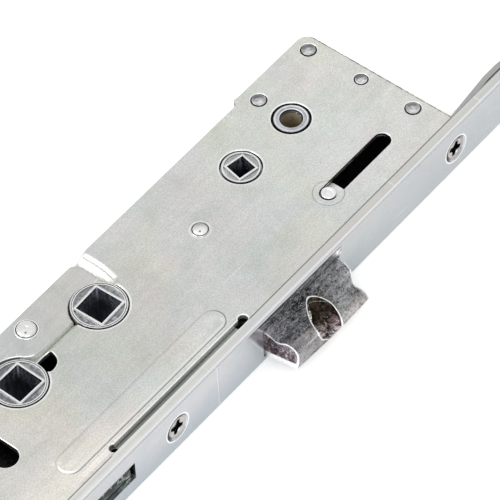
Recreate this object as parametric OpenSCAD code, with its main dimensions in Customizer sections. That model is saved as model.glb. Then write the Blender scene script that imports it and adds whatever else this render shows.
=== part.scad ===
// Twin-spindle multipoint door lock: central gearbox, latch, deadbolt and two swing hooks on one faceplate.
// X runs up the lock, the faceplate's front looks to -Y, and the riveted cover looks to +Z.
// The origin is on the front of the faceplate, level with the upper spindle.

/* [Faceplate] */
// Length of the faceplate
plate_len = 600; // [580:1:640]
// Width of the faceplate
plate_w = 16; // [16:1:20]
// Thickness of the faceplate
plate_t = 3; // [2.5:0.1:3]
// Radius of the front long edges
edge_r = 1; // [0.4:0.1:1.4]

/* [Gearbox case] */
// Backset: faceplate front to spindle axis
backset = 35; // [35:0.5:37]
// Distance between the two spindle axes
spindle_gap = 30; // [30:0.5:31]
// Upper end of the case above the upper spindle
case_top = 100; // [99:1:106]
// Lower end of the case below the upper spindle
case_bot = 128; // [127:1:134]
// Thickness of the case sheet
sheet = 1.6; // [1.2:0.1:1.6]
// Distance from the upper spindle to the key cylinder
cylinder_gap = 92; // [92:0.5:93]

/* [Followers] */
// Width of the square hole in both spindle followers
square = 8.1; // [8:0.05:8.3]
// Width of the square hole in the small snib hub
snib_square = 5.1; // [5:0.05:5.2]

/* [Latch and deadbolt] */
// How far the latch stands out
latch_out = 9.8; // [8:0.1:10]
// Throw of the deadbolt
bolt_throw = 16; // [10:0.5:16]

/* [Hooks] */
// Distance of each hook pivot from the upper spindle
hook_at = 215; // [212:1:220]
// Thickness of the hook plate
hook_t = 4.4; // [3:0.1:4.6]

/* [Hidden] */
$fn = 48;
hz = plate_w/2;            // half thickness of the whole lock
iz = hz - sheet;           // inner faces of base and cover
uf = [0, backset];         // upper follower
lf = [-spindle_gap, backset];
cy = [-cylinder_gap, backset];
sn = [55, backset];        // snib hub
bb = [75, backset];        // bolt bush
p1 = [33.2, 30.3];         // domed rivet, pivot of the latch lever
p2 = [-16.1, 44.6];        // domed rivet, guide of the latch link
id = [0, backset - 24];    // idler pinion
back_lo = 49.0;            // back edge of the case
back_up = 50.6;            // back edge of its upper part
stroke = 20.9;             // travel of the drive
wall = 1.5;
rz0 = iz - 2.6;            // layer of the gears and the slide
rz1 = iz - 0.4;
rivets = [[95.5, 45.8], [95.8, 29], [96, 12.6], [74.8, 45.3],
          [-123.6, 44.6], [-123.6, 29], [-123.6, 13], [-66, 44.6]];
case_screws = [97.2, -12.8, -70];
hook_x = [hook_at, -hook_at];
box_rv = [[-46.3, 37.6], [-12, 38.4], [23.3, 37.6]];
box_sc = [-46.6, 23.2];
fix_x = [-288, -150, 150, 288];

// ---------- helpers ----------
function arc(c, r, a0, a1, n) = [for (i = [0:n]) let (a = a0 + (a1 - a0)*i/n) [c[0] + r*cos(a), c[1] + r*sin(a)]];
function rot(p, a) = [p[0]*cos(a) - p[1]*sin(a), p[0]*sin(a) + p[1]*cos(a)];

module at(p, z = 0) translate([p[0], p[1], z]) children();
module rod(p, r, z0, z1) translate([p[0], p[1], z0]) cylinder(r = r, h = z1 - z0);
// a plate between two heights
module plate(z0, z1) translate([0, 0, z0]) linear_extrude(z1 - z0) children();
// round-ended slot in the plan view
module slot2(a, b, r) {
  an = atan2(b[1] - a[1], b[0] - a[0]);
  polygon(concat(arc(b, r, an - 90, an + 90, 16), arc(a, r, an + 90, an + 270, 16)));
}
// hole along Y through the faceplate side
module yhole(x, r, y0, y1, z = 0) translate([x, y0, z]) rotate([-90, 0, 0]) cylinder(r = r, h = y1 - y0);
module ycone(x, r1, r2, y0, y1, z = 0) translate([x, y0, z]) rotate([-90, 0, 0]) cylinder(r1 = r1, r2 = r2, h = y1 - y0);
module sq_bore(p, w, a) translate([p[0], p[1], -20]) rotate(a) translate([-w/2, -w/2, 0]) cube([w, w, 40]);

// involute gear tooth outline, centred on angle 0
function inv(rb, t) = [rb*(cos(t) + t*PI/180*sin(t)), rb*(sin(t) - t*PI/180*cos(t))];
function tan_a(rb, r) = r <= rb ? 0 : 180/PI*sqrt(r*r/(rb*rb) - 1);
function flank(rp, n, ra, slack, k) = let (rb = rp*cos(20), t = tan_a(rb, ra)*k,
    ha = 90/n - slack/rp*90/PI + (tan(20)*180/PI - 20)) rot(inv(rb, t), -ha);
function tooth(rp, n, rr, ra, slack) = concat(
    [rot([rr, 0], -(90/n - slack/rp*90/PI + (tan(20)*180/PI - 20)))],
    [for (i = [0:5]) flank(rp, n, ra, slack, i/5)],
    [for (i = [5:-1:0]) let (p = flank(rp, n, ra, slack, i/5)) [p[0], -p[1]]],
    [rot([rr, 0], 90/n - slack/rp*90/PI + (tan(20)*180/PI - 20))]);

// ---------- faceplate ----------
module faceplate() color([0.80, 0.82, 0.84]) difference() {
  // long bar with rounded front edges
  translate([-plate_len/2, 0, 0]) rotate([90, 0, 90]) linear_extrude(plate_len)
    polygon(concat(arc([edge_r, hz - edge_r], edge_r, 90, 180, 8), arc([edge_r, -hz + edge_r], edge_r, 180, 270, 8),
      [[plate_t, -hz], [plate_t, hz]]));
  // rounded end corners
  for (s = [-1, 1]) for (q = [-1, 1]) translate([s*plate_len/2, -1, q*hz]) rotate([-90, 0, 0]) difference() {
    translate([-4, -4, 0]) cube([8, 8, 6]);
    translate([-s*4, q*4, -1]) cylinder(r = 4, h = 9);
    translate([s > 0 ? -12 : 4, -4, -1]) cube([8, 8, 9]);
    translate([-4, q > 0 ? 4 : -12, -1]) cube([8, 8, 9]);
  }
  // latch
  translate([20, -1, -6.1]) cube([30, 6, 10]);
  // deadbolt
  translate([-61.7, -1, -2.9]) cube([33, 6, 5.8]);
  // hooks
  for (x = hook_x) translate([x - 40.4, -1, -2.9]) cube([54.8, 6, 5.8]);
  // case and box screws, countersunk
  for (x = concat(case_screws, [for (h = hook_x) for (b = box_sc) h + b])) {
    yhole(x, 2.6, -1, 5);
    ycone(x, 3.9, 2.6, -0.01, 1.4);
  }
  // screw of the key cylinder and fixing screws, countersunk
  for (x = concat([cy[0]], fix_x)) {
    yhole(x, x == cy[0] ? 2.6 : 2.4, -1, 5);
    ycone(x, 4.1, x == cy[0] ? 2.6 : 2.4, -0.01, 1.4);
  }
}

// ---------- case ----------
module case_outline() polygon(concat(
  [[-case_bot, plate_t]],
  [[case_top, plate_t]],
  arc([case_top - 3.5, back_up - 3.5], 3.5, 0, 90, 8),
  [[71, back_up], [69.6, back_lo]],
  arc([-case_bot + 3, back_lo - 3], 3, 90, 180, 6)));
module case_inner() polygon(concat(
  [[-case_bot + wall, plate_t - 1]],
  [[case_top - wall, plate_t - 1]],
  arc([case_top - 3.5, back_up - 3.5], 2, 0, 90, 6),
  [[71 + 0.6, back_up - wall], [69.6 + 0.6, back_lo - wall]],
  arc([-case_bot + 3, back_lo - 3], 1.5, 90, 180, 6)));
module euro() {
  translate(cy) circle(8.6);
  polygon(concat([cy], [cy + [0, 5.1]], arc([cy[0] - 19.4, cy[1]], 5.1, 90, 270, 16), [cy + [0, -5.1]]));
}
// lug behind the faceplate for one screw; one that stands behind the rail starts further back
module lug(x, y1, x0, x1, behind) {
  translate([x0, behind ? 5.9 : plate_t, -iz - 0.2]) cube([x1 - x0, y1 - (behind ? 5.9 : plate_t), 2*iz - 2.6]);
}
module case_base() color([0.74, 0.75, 0.74]) difference() {
  union() {
    plate(-hz, -iz) case_outline();
    plate(-iz - 0.1, iz) difference() { case_outline(); case_inner(); }
    for (p = rivets) rod(p, 3.1, -iz - 0.1, iz);
    lug(case_screws[0], 10, 92.6, case_top - 1, true);
    lug(case_screws[1], 9, -17.2, -8.6, false);
    lug(case_screws[2], 9, -74.4, -65.6, false);
    // seats of the latch spring and the link spring, and posts of the detent spring
    translate([22, 26.8, -iz - 0.1]) cube([6.9, 2.4, iz + 3.4]);
    translate([-62.2, 42.6, -iz - 0.1]) cube([2.4, back_lo - wall - 42.6 + 0.1, iz + 2.4]);
    for (y = [40.3, 44.7]) translate([sn[0] + 7.3, y, -iz - 0.1]) cube([3, y > 42 ? 2.2 : 2.7, iz + 3.1]);
  }
  // lower edge under the stepped shelf of the cover
  translate([strap_lo - 3, 35.5, iz - shelf]) cube([12.7 - strap_lo, 20, 10]);
  // passages for the rails in both end walls
  for (x = [-case_bot - 1, case_top - wall - 1]) translate([x, plate_t - 1, -5.4]) cube([wall + 2, 3.9, 10.8]);
  plate(-hz - 1, -iz + 1) euro();
  for (p = [uf, lf]) rod(p, 7.26, -hz - 1, -iz + 1);
  rod(sn, 5.26, -hz - 1, -iz + 1);
  rod(bb, 4.72, -hz - 1, -iz + 1);
  rod(id, 2.02, -hz - 1, -iz + 1);
  rod(p1, 1.82, -hz - 1, -iz + 1);
  rod(p2, 1.22, -hz - 1, -iz + 1);
  for (p = rivets) rod(p, 1.55, -hz - 1, iz + 1);
  for (x = case_screws) yhole(x, 2.15, plate_t - 1, 10.8);
}

strap_lo = -72;            // lower end of the strap
shelf = 2.4;               // how far the cover steps down under the strap
strap_z = hz - shelf + 1.6; // top of the strap
module strap2() polygon(concat([[strap_lo, 37.3], [6.7, 37.3]], arc([4.6, 46.9], 2.1, 0, 90, 6), [[strap_lo, back_lo]]));
module cover_top_cuts() {
  // drive pin slot
  slot2([61.6, 12.38], [83.1, 12.38], 2.2);
  // guide slot of the deadbolt
  slot2([-48.6, 23.1], [-48.6, 40.2], 3.25);
  // relief holes and edge cut-out next to the faceplate
  translate([-30.6, plate_t - 1]) square([47.2, 2.9]);
  translate([16.9, 5.1]) circle(1.9);
  translate([-31.2, 5.1]) circle(1.9);
  // window over the lower follower
  polygon([[-17.9, 36.3], [-17.9, 34.6], [-18.7, 32.3], [-20.2, 31.3], [-22.4, 31], [-24.4, 33.2], [-23.4, 36.3]]);
  euro();
}
module case_cover() color([0.82, 0.83, 0.81]) difference() {
  union() {
    plate(iz, hz) difference() { case_outline(); translate([strap_lo - 2.8, 35.7]) square([9.5 - strap_lo + 2.8, 20]); }
    // stepped shelf under the strap, with a ramp on three sides
    plate(iz - shelf, hz - shelf) translate([strap_lo - 0.3, 37.1]) square([7 - strap_lo + 0.3, back_lo - 37.1]);
    translate([0, back_lo, 0]) rotate([90, 0, 0]) linear_extrude(back_lo - 35.6) {
      polygon([[9.6, hz], [9.6, iz], [6.9, iz - shelf], [6.9, hz - shelf]]);
      polygon([[strap_lo - 2.9, hz], [strap_lo - 2.9, iz], [strap_lo - 0.2, iz - shelf], [strap_lo - 0.2, hz - shelf]]);
    }
    translate([strap_lo - 2.9, 0, 0]) rotate([90, 0, 90]) linear_extrude(12.5 - strap_lo)
      polygon([[35.6, hz], [35.6, iz], [37.2, iz - shelf], [37.2, hz - shelf]]);
    // long pressed rib
    plate(hz - 0.1, hz + 0.35) slot2([12.8, 9.7], [-40.8, 9.7], 2.8);
  }
  plate(iz - 3, hz + 2) cover_top_cuts();
  for (p = [uf, lf]) rod(p, 7.5, iz - 3, hz + 2);
  rod(sn, 5.26, iz - 1, hz + 2);
  rod(bb, 4.72, iz - 1, hz + 2);
  rod(id, 2.02, iz - 1, hz - 0.2);
  rod(p1, 1.82, iz - 1, hz + 2);
  rod(p2, 1.22, iz - 3, hz + 2);
  for (p = rivets) rod(p, 1.55, iz - 3, hz + 2);
}
// strap that lies in the stepped part of the cover, a little below its face
module cover_strap() color([0.82, 0.83, 0.82]) difference() {
  plate(hz - shelf, strap_z) strap2();
  rod(uf, 7.6, iz - 3, hz + 2);
  rod(lf, 7.6, iz - 3, hz + 2);
  plate(iz - 3, hz + 2) slot2([-48.6, 23.1], [-48.6, 40.2], 3.25);
  rod(p2, 1.22, iz - 3, hz + 2);
  rod([-66, 44.6], 1.55, iz - 3, hz + 2);
}
module case_rivets() color([0.72, 0.73, 0.74]) for (i = [0:len(rivets) - 1]) {
  p = rivets[i];
  z = p == [-66, 44.6] ? strap_z : hz;
  rod(p, 1.5, -hz, z);
  rod(p, i == 1 ? 1.65 : 1.9, z, z + 0.25);
}
module dome(p, r, h, z) translate([p[0], p[1], z]) rotate_extrude()
  polygon(concat([[0, 0]], [for (i = [0:6]) [r*cos(i*15), h*sin(i*15)]]));
module dome_rivets() color([0.80, 0.80, 0.78]) {
  rod(p1, 1.8, -hz, hz + 0.1);
  dome(p1, 2.4, 1.0, hz);
  rod(p2, 1.2, -hz, strap_z + 0.1);
  dome(p2, 3.0, 1.1, strap_z);
}
module bolt_bush() color([0.55, 0.50, 0.40]) difference() {
  union() { rod(bb, 4.7, -hz, hz); rod(bb, 6, -iz + 0.1, iz - 0.1); }
  rod(bb, 2.85, -hz - 1, hz + 1);
}
module cs_screw(x, l) difference() {
  union() {
    ycone(x, 3.75, 2.5, 0.05, 1.4);
    yhole(x, 2.1, 1.3, l);
  }
  // cross recess
  for (a = [0, 90]) translate([x, 0, 0]) rotate([0, a + 20, 0]) translate([-1.9, -0.1, -0.45]) cube([3.8, 1.1, 0.9]);
}
module faceplate_screws() color([0.70, 0.71, 0.73]) {
  cs_screw(case_screws[0], 9.4);
  cs_screw(case_screws[1], 8.4);
  cs_screw(case_screws[2], 8.4);
  for (h = hook_x) for (b = box_sc) cs_screw(h + b, 9.4);
}
module idler_pin() color([0.66, 0.67, 0.69]) rod(id, 2, -hz, hz - 0.25);

// ---------- drive ----------
module rack2() {
  // rack teeth along Y = 7 that face the idler
  for (k = [-8:0]) translate([(k - 0.5)*PI + PI, backset - 28])
    polygon([[-0.785 - 0.364*1.25 + 0.06, -1.26], [-0.785 + 0.364*0.45 + 0.06, 0.45], [0.785 - 0.364*0.45 - 0.06, 0.45], [0.785 + 0.364*1.25 - 0.06, -1.26]]);
}
module drive_slide() color([0.62, 0.63, 0.64]) difference() {
  union() {
    plate(rz0, rz1) {
      polygon([[-126, 4.9], [-112, 4.9], [-110, 3.4], [50.2, 3.4], [51.6, 4.9], [66, 4.9], [66, 14.4], [64.4, 16], [56, 16], [50, 12], [10, 12],
        [5.6, backset - 29.2], [-27.4, backset - 29.2], [-31, 12], [-110, 12], [-114, 9], [-126, 9]]);
      rack2();
    }
    // flanges that carry the rails
    translate([52, 4.9, -3]) cube([14, 1.6, rz0 + 3.1]);
    translate([-126, 4.9, -3]) cube([10, 1.6, rz0 + 3.1]);
  }
  for (x = [56, 62, -118.5, -123.5]) yhole(x, 1.25, 4, 8);
  rod([61.6, 12.38], 1.5, rz0 - 1, rz1 + 1);
  // lightening holes
  for (x = [-44, -62, -80, -98, 22, 38]) rod([x, 8], 1.6, rz0 - 1, rz1 + 1);
}
module slide_pin() color([0.85, 0.85, 0.85]) { rod([61.6, 12.38], 1.5, rz0, rz1); rod([61.6, 12.38], 2.0, rz1, hz + 0.2); }
module rail_rivets() color([0.66, 0.67, 0.69]) for (x = [56, 62, -118.5, -123.5]) yhole(x, 1.2, 3.3, 6.5);
// strip that stands off the faceplate for a stretch above the case
module rail_path(a, b) let (c = case_top, r = 1.6) polygon([[a, 3.3], [c + 0.8, 3.3], [c + 17, 3.3 + r], [c + 22, 3.3 + r], [c + 38, 3.3], [b, 3.3],
  [b, 4.9], [c + 38, 4.9], [c + 22, 4.9 + r], [c + 17, 4.9 + r], [c + 0.8, 4.9], [a, 4.9]]);
module rail(x0, x1, wins, hx, rv) difference() {
  union() {
    plate(-5, 3.7) rail_path(x0, x1);
    // folded tab that carries the drive pin of the hook
    translate([hx - 14.6, 3.3, 2.9]) cube([8.2, 11.4, 1.9]);
    plate(3.6, 5) rail_path(x0 + 16, x1 - 4);
  }
  for (w = wins) translate([w[0], 2, -3.3]) cube([w[1] - w[0], 6, 6.6]);
  for (x = rv) yhole(x, 1.25, 2, 8);
  rod([hx - 10.5, 11], 2.02, 1, 7);
}
module rail_top() color([0.58, 0.59, 0.60])
  rail(51.4, 258, [[72.6, 100.8], [125.6, 153.4], [hook_at - 71, hook_at + 26.8]], hook_at, [56, 62]);
module rail_bottom() color([0.58, 0.59, 0.60]) rail_b();
module rail_b() difference() {
  union() {
    translate([-262, 3.3, -5]) cube([262 - 115.6, 1.6, 8.7]);
    translate([-hook_at - 14.6, 3.3, 2.9]) cube([8.2, 11.4, 1.9]);
    translate([-258, 3.3, 3.6]) cube([258 - 130, 1.6, 1.4]);
  }
  // the lower end is forked round the hook
  for (w = [[-263, -hook_at + 26.8], [-174.4, -146.6]])
    translate([w[0], 2, -3.3]) cube([w[1] - w[0], 6, 6.6]);
  for (x = [-118.5, -123.5]) yhole(x, 1.25, 2, 8);
  rod([-hook_at - 10.5, 11], 2.02, 1, 7);
}
module hook_drive_pins() color([0.66, 0.67, 0.69]) for (h = hook_x) {
  rod([h - 10.5, 11], 2.5, -3.6, 2.9);
  rod([h - 10.5, 11], 2.0, 2.8, 4.8);
}

// ---------- followers ----------
module upper_follower() color([0.70, 0.71, 0.72]) difference() {
  union() {
    rod(uf, 7.2, -hz, hz);
    rod(uf, 8.6, -iz + 0.2, rz0 + 0.1);
    // toothed sector, 40 teeth to the full turn
    plate(rz0, rz1) translate(uf) {
      polygon(concat([[0, 0]], arc([0, 0], 18.76, -102, -18, 24)));
      for (k = [-1:7]) rotate(-90 + 4.5 + 9*k) polygon(tooth(20, 40, 18.7, 20.45, 0.12));
    }
  }
  sq_bore(uf, square, 2);
}
module idler_pinion() color([0.70, 0.71, 0.72]) difference() {
  union() {
    plate(rz0, rz1) translate(id) {
      circle(2.9);
      for (k = [0:7]) rotate(-90 + 45*k) polygon(tooth(4, 8, 2.7, 5, 0.1));
    }
    rod(id, 3.2, -1.5, rz0 + 0.1);
  }
  rod(id, 2.05, -hz, hz);
}
module lower_follower() color([0.70, 0.71, 0.72]) difference() {
  union() {
    rod(lf, 7.2, -hz, hz);
    rod(lf, 8.2, -iz + 0.2, -3.9);
    plate(-5.9, -3.9) translate(lf) polygon(concat([[-6.5, 4]], arc([0, 9.5], 2.3, 160, 20, 8), [[6.5, 4]]));
    rod([lf[0], lf[1] + 9.5], 1.4, -4, -0.6);
  }
  sq_bore(lf, square, -1);
}

// ---------- latch ----------
module latch_link() color([0.60, 0.62, 0.63]) plate(-2.9, -0.9) difference() {
  union() {
    translate([-35.2, 42.5]) square([72.7, 4.7]);
    translate([29.6, 35.4]) square([7.9, 8]);
  }
  translate([-31.7, 40]) square([3.9, 6.2]);
  translate([31.5, 34]) square([4.0, 7.0]);
  slot2([-16.1, 44.6], [-9.4, 44.6], 1.4);
  // clears the shoulder of the upper follower
  slot2([0, backset], [6.9, backset], 9);
}
module latch_lever() color([0.60, 0.62, 0.63]) difference() {
  union() {
    plate(-5.9, -3.9) translate(p1) {
      circle(3.6);
      polygon([[-3, -2], [-2.2, 9], [2.2, 9], [3, 2.4], [13.6, 2.2], [13.6, -2.2], [2, -3]]);
      translate([0, 9]) circle(2.2);
      translate([13.6, 0]) circle(2.2);
    }
    rod(p1, 3.0, -4, -0.4);
    rod([p1[0], p1[1] + 9], 1.4, -4, -0.6);
    rod([p1[0] + 13.6, p1[1]], 1.4, -4, 2.2);
  }
  rod(p1, 1.86, -hz, hz);
}
// wave-shaped nose of the cast latch: upper end profile and lower end profile in Y and Z
lat_u = [[8.9, 3.3], [0, 3.3], [-1.8, 3.2], [-3.3, 2.4], [-4.0, 0.5], [-4.5, -2.1], [-5.8, -3.5], [-8, -3.6], [-9.2, -4.4], [-9.4, -5.6], [8.9, -5.6]];
lat_m = [[8.9, 3.3], [0, 3.3], [-1.8, 2.9], [-3.8, 2.0], [-5.2, 1.0], [-6.4, 0.2], [-7.6, -0.4], [-8.8, -1.6], [-9.6, -3.2], [-9.7, -5.6], [8.9, -5.6]];
lat_l = [[8.9, 3.3], [0, 3.3], [-1.6, 2.1], [-3.6, 1.6], [-5.4, 2.2], [-6.8, 2.8], [-8.4, 2.6], [-9.4, 1.2], [-9.8, -1.2], [-9.8, -5.6], [8.9, -5.6]];
module latch_bolt() color([0.42, 0.42, 0.44]) difference() {
  union() {
    // eight steps from the lower profile to the upper one
    for (i = [0:7]) let (u = i/7, a = u < 0.5 ? lat_l : lat_m, b = u < 0.5 ? lat_m : lat_u, v = u < 0.5 ? 2*u : 2*u - 1)
      translate([20.4 + i*29.1/8, 0, 0]) rotate([90, 0, 90]) linear_extrude(29.1/8 + (i < 7 ? 0.01 : 0))
        polygon([for (k = [0:10]) [(a[k][0]*(1 - v) + b[k][0]*v)*(a[k][0] < 0 ? latch_out/9.8 : 1), a[k][1]*(1 - v) + b[k][1]*v]]);
    // tail that the lever draws
    translate([39.2, 8.8, -3]) cube([9.2, 26, 6]);
  }
  // hole through the nose
  translate([33.6, -5.3, -10]) cylinder(r = 3.6, h = 20);
  // slot for the lever pin, open at its upper end
  translate([41.2, 27.5, -8]) cube([20, 4.7, 16]);
  // pocket in the lower end
  translate([19, -7.6, -4.4]) cube([3.4, 5.2, 3.8]);
}
module coil(r, wire, l, n) {
  // coil drawn as n closed rings joined by a bar
  for (i = [0:n - 1]) translate([0, 0, wire + (l - 2*wire)*i/(n - 1)]) rotate_extrude($fn = 32) translate([r, 0]) circle(wire, $fn = 16);
  translate([r, 0, wire]) cylinder(r = wire*0.8, h = l - 2*wire, $fn = 16);
}
module latch_spring() color([0.5, 0.5, 0.52]) translate([25.4, 9.1, 0]) rotate([-90, 0, 0]) coil(2.6, 0.45, 17.5, 8);
module link_spring() color([0.5, 0.5, 0.52]) translate([-59.7, 44.8, -1.9]) rotate([0, 90, 0]) coil(1.45, 0.35, 24.3, 11);

// ---------- deadbolt ----------
module deadbolt() color([0.42, 0.46, 0.44]) difference() {
  plate(-2.6, 2.6) polygon([[-61.2, 1.2], [-29.2, 1.2], [-29.2, 25], [-40, 27], [-41.8, 42.4], [-60, 42.4], [-60, 40.6], [-81.6, 40.6], [-81.6, 36.6], [-75, 36], [-75, 30.6], [-81.6, 30], [-81.6, 26.2], [-61.2, 26.2]]);
  rod([-48.6, 39.2], 2.02, -4, 4);
  rod([-45.2, 14], 2.6, -4, 4);
}
module deadbolt_pin() color([0.7, 0.7, 0.72]) { rod([-48.6, 39.2], 3.0, 2.6, hz - 0.9); rod([-48.6, 39.2], 2.0, -2.6, 2.7); }

// ---------- snib ----------
module snib_hub() color([0.70, 0.71, 0.72]) difference() {
  union() { rod(sn, 5.2, -hz, hz); rod(sn, 6.2, -iz + 0.2, iz - 0.2); }
  sq_bore(sn, snib_square, -11);
  // flats for the detent spring
  translate([sn[0] - 5, sn[1] + 5.2, -2.6]) cube([10, 4, 5.2]);
  translate([sn[0] + 5.2, sn[1] - 5, -2.6]) cube([4, 10, 5.2]);
}
// leaf spring held between two posts, its free end on the flat of the hub
module snib_detent() color([0.55, 0.56, 0.58]) plate(-2.2, 2.2) polygon([[sn[0] - 3.6, 43.0], [sn[0] - 3.2, 42.5], [sn[0] - 1.4, 41.7], [sn[0] + 1.2, 41.7], [sn[0] + 4, 42.5],
  [sn[0] + 11, 43.9], [sn[0] + 11, 44.4], [sn[0] + 4, 43.0], [sn[0] + 1.2, 42.2], [sn[0] - 1.4, 42.2], [sn[0] - 3.0, 42.9]]);

// ---------- hooks ----------
turn = 90;
// path of the drive pin seen from the turning hook
function pin_path(k) = rot([-10.5 + stroke*k, -11], -turn*k);
module hook2() polygon(concat([[0, 8]], [[-24, 8]], arc([-33.5, -1], 9, 80, 178, 8), [[-43, -7]], [[-42.2, -11.8]], arc([-38, -10.6], 3.8, 200, 330, 6),
  [[-34, -6.5], [-31.6, -4.2], [-28, -3.6], [-24, -4.4], [-21.2, -7.4], [-18.6, -13]], arc([-13, -13.4], 4.8, 200, 320, 6), [[-6.5, -9], [-3, -7.4]],
  arc([0, 0], 8, -60, 90, 12)));
module hook_solid(x) difference() {
  translate([x, 22, -hook_t/2]) linear_extrude(hook_t) hook2();
  rod([x, 22], 3.06, -5, 5);
  // curved slot that the drive pin runs in
  for (k = [0:12]) rod([x, 22] + pin_path(k/12), 2.8, -5, 5);
}
module top_hook() color([0.66, 0.67, 0.68]) hook_solid(hook_x[0]);
module bottom_hook() color([0.66, 0.67, 0.68]) hook_solid(hook_x[1]);
module box_outline(x) polygon(concat([[x - 50, plate_t], [x + 27, plate_t]], arc([x + 24, 39], 3, 0, 90, 6), arc([x - 47, 39], 3, 90, 180, 6)));
module box_inner(x) polygon(concat([[x - 48.5, plate_t - 1], [x + 25.5, plate_t - 1]], arc([x + 24, 39], 1.5, 0, 90, 6), arc([x - 47, 39], 1.5, 90, 180, 6)));
module box_base(x) difference() {
  union() {
    plate(-hz, -iz) box_outline(x);
    plate(-iz - 0.1, iz) difference() { box_outline(x); box_inner(x); }
    for (p = box_rv) rod([x + p[0], p[1]], 2.4, -iz - 0.1, iz);
    lug(x + box_sc[0], 11.4, x - 49.2, x - 44.1, true);
    lug(x + box_sc[1], 11.4, x + 20.2, x + 26, true);
  }
  for (e = [x - 51, x + 24.5]) translate([e, plate_t - 1, -5.4]) cube([3.5, 3.9, 10.8]);
  rod([x, 22], 3.02, -hz - 1, -iz + 1);
  for (p = box_rv) rod([x + p[0], p[1]], 1.55, -hz - 1, iz + 1);
  for (b = box_sc) yhole(x + b, 2.15, plate_t - 1, 13);
}
module box_cover(x) difference() {
  plate(iz, hz) box_outline(x);
  rod([x, 22], 3.02, iz - 1, hz + 1);
  for (p = box_rv) rod([x + p[0], p[1]], 1.55, iz - 1, hz + 1);
}
module top_box_base() color([0.74, 0.75, 0.74]) box_base(hook_x[0]);
module top_box_cover() color([0.82, 0.83, 0.81]) box_cover(hook_x[0]);
module bottom_box_base() color([0.74, 0.75, 0.74]) box_base(hook_x[1]);
module bottom_box_cover() color([0.82, 0.83, 0.81]) box_cover(hook_x[1]);
module box_rivets() color([0.72, 0.73, 0.74]) for (h = hook_x) for (p = box_rv) {
  rod([h + p[0], p[1]], 1.5, -hz, hz);
  rod([h + p[0], p[1]], 1.9, hz, hz + 0.25);
}
module hook_pivots() color([0.72, 0.73, 0.74]) for (h = hook_x) { rod([h, 22], 3.0, -hz, hz); rod([h, 22], 4.2, hz, hz + 0.5); }
module hook_spacers() color([0.60, 0.62, 0.63]) for (h = hook_x) for (s = [-1, 1]) difference() {
  rod([h, 22], 5.2, s > 0 ? hook_t/2 + 0.15 : -iz, s > 0 ? iz : -hook_t/2 - 0.15);
  rod([h, 22], 3.03, -hz, hz);
}

// ---------- assembly ----------
faceplate();
case_base();
case_cover();
cover_strap();
case_rivets();
dome_rivets();
bolt_bush();
faceplate_screws();
idler_pin();
top_box_base();
top_box_cover();
bottom_box_base();
bottom_box_cover();
box_rivets();
hook_pivots();
hook_spacers();
latch_spring();
link_spring();
snib_detent();
drive_slide();
slide_pin();
rail_top();
rail_bottom();
rail_rivets();
hook_drive_pins();
upper_follower();
idler_pinion();
lower_follower();
latch_link();
latch_lever();
latch_bolt();
deadbolt();
deadbolt_pin();
snib_hub();
top_hook();
bottom_hook();
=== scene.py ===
import bpy, bmesh, math
import numpy as np
from mathutils import Vector, Matrix, geometry


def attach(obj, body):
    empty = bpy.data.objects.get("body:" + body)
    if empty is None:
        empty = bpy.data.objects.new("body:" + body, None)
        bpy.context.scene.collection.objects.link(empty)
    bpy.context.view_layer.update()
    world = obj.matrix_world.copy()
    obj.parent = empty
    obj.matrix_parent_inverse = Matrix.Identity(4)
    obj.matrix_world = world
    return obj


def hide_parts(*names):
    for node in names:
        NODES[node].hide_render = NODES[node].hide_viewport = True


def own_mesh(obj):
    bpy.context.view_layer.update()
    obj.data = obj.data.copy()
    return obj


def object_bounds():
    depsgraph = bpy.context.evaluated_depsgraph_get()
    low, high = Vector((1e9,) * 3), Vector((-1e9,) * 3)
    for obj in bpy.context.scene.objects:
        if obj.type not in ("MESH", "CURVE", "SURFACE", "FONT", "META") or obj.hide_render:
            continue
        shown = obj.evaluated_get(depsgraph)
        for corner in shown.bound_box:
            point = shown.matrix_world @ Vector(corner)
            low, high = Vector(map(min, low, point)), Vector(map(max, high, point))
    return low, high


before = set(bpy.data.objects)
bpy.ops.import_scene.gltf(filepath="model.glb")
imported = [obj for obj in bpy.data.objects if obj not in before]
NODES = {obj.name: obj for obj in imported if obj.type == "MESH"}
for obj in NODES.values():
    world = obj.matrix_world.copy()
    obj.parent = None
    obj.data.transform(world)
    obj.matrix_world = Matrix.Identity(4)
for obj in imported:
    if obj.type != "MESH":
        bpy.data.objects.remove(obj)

CAD_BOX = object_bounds()
MM = 0.001
scene = bpy.context.scene

# ------------------------------------------------------------------ camera
cam_data = bpy.data.cameras.new("camera")
cam = bpy.data.objects.new("camera", cam_data)
scene.collection.objects.link(cam)
right = Vector((0.62911, -0.77611, -0.04325)).normalized()
back = Vector((-0.46833, -0.42285, 0.7758)).normalized()
up = back.cross(right).normalized()
right = up.cross(back).normalized()
cam.matrix_world = Matrix((
    (right.x, up.x, back.x, -0.507646),
    (right.y, up.y, back.y, -0.474090),
    (right.z, up.z, back.z, 0.907949),
    (0, 0, 0, 1)))
cam_data.sensor_width = 36
cam_data.lens = 339.9024
cam_data.clip_start = 0.01
cam_data.clip_end = 50
scene.camera = cam

# ------------------------------------------------------------------ helpers
def circle(c, r, n=64, a0=0.0):
    return [(c[0] + r * math.cos(a0 + 2 * math.pi * i / n), c[1] + r * math.sin(a0 + 2 * math.pi * i / n)) for i in range(n)]


def arc(c, r, a0, a1, n):
    return [(c[0] + r * math.cos(math.radians(a0 + (a1 - a0) * i / n)), c[1] + r * math.sin(math.radians(a0 + (a1 - a0) * i / n))) for i in range(n + 1)]


def capsule(a, b, r, n=20):
    an = math.degrees(math.atan2(b[1] - a[1], b[0] - a[0]))
    return arc(b, r, an - 90, an + 90, n) + arc(a, r, an + 90, an + 270, n)


def area(loop):
    p = np.array(loop)
    q = np.roll(p, -1, 0)
    return 0.5 * float((p[:, 0] * q[:, 1] - q[:, 0] * p[:, 1]).sum())


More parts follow.
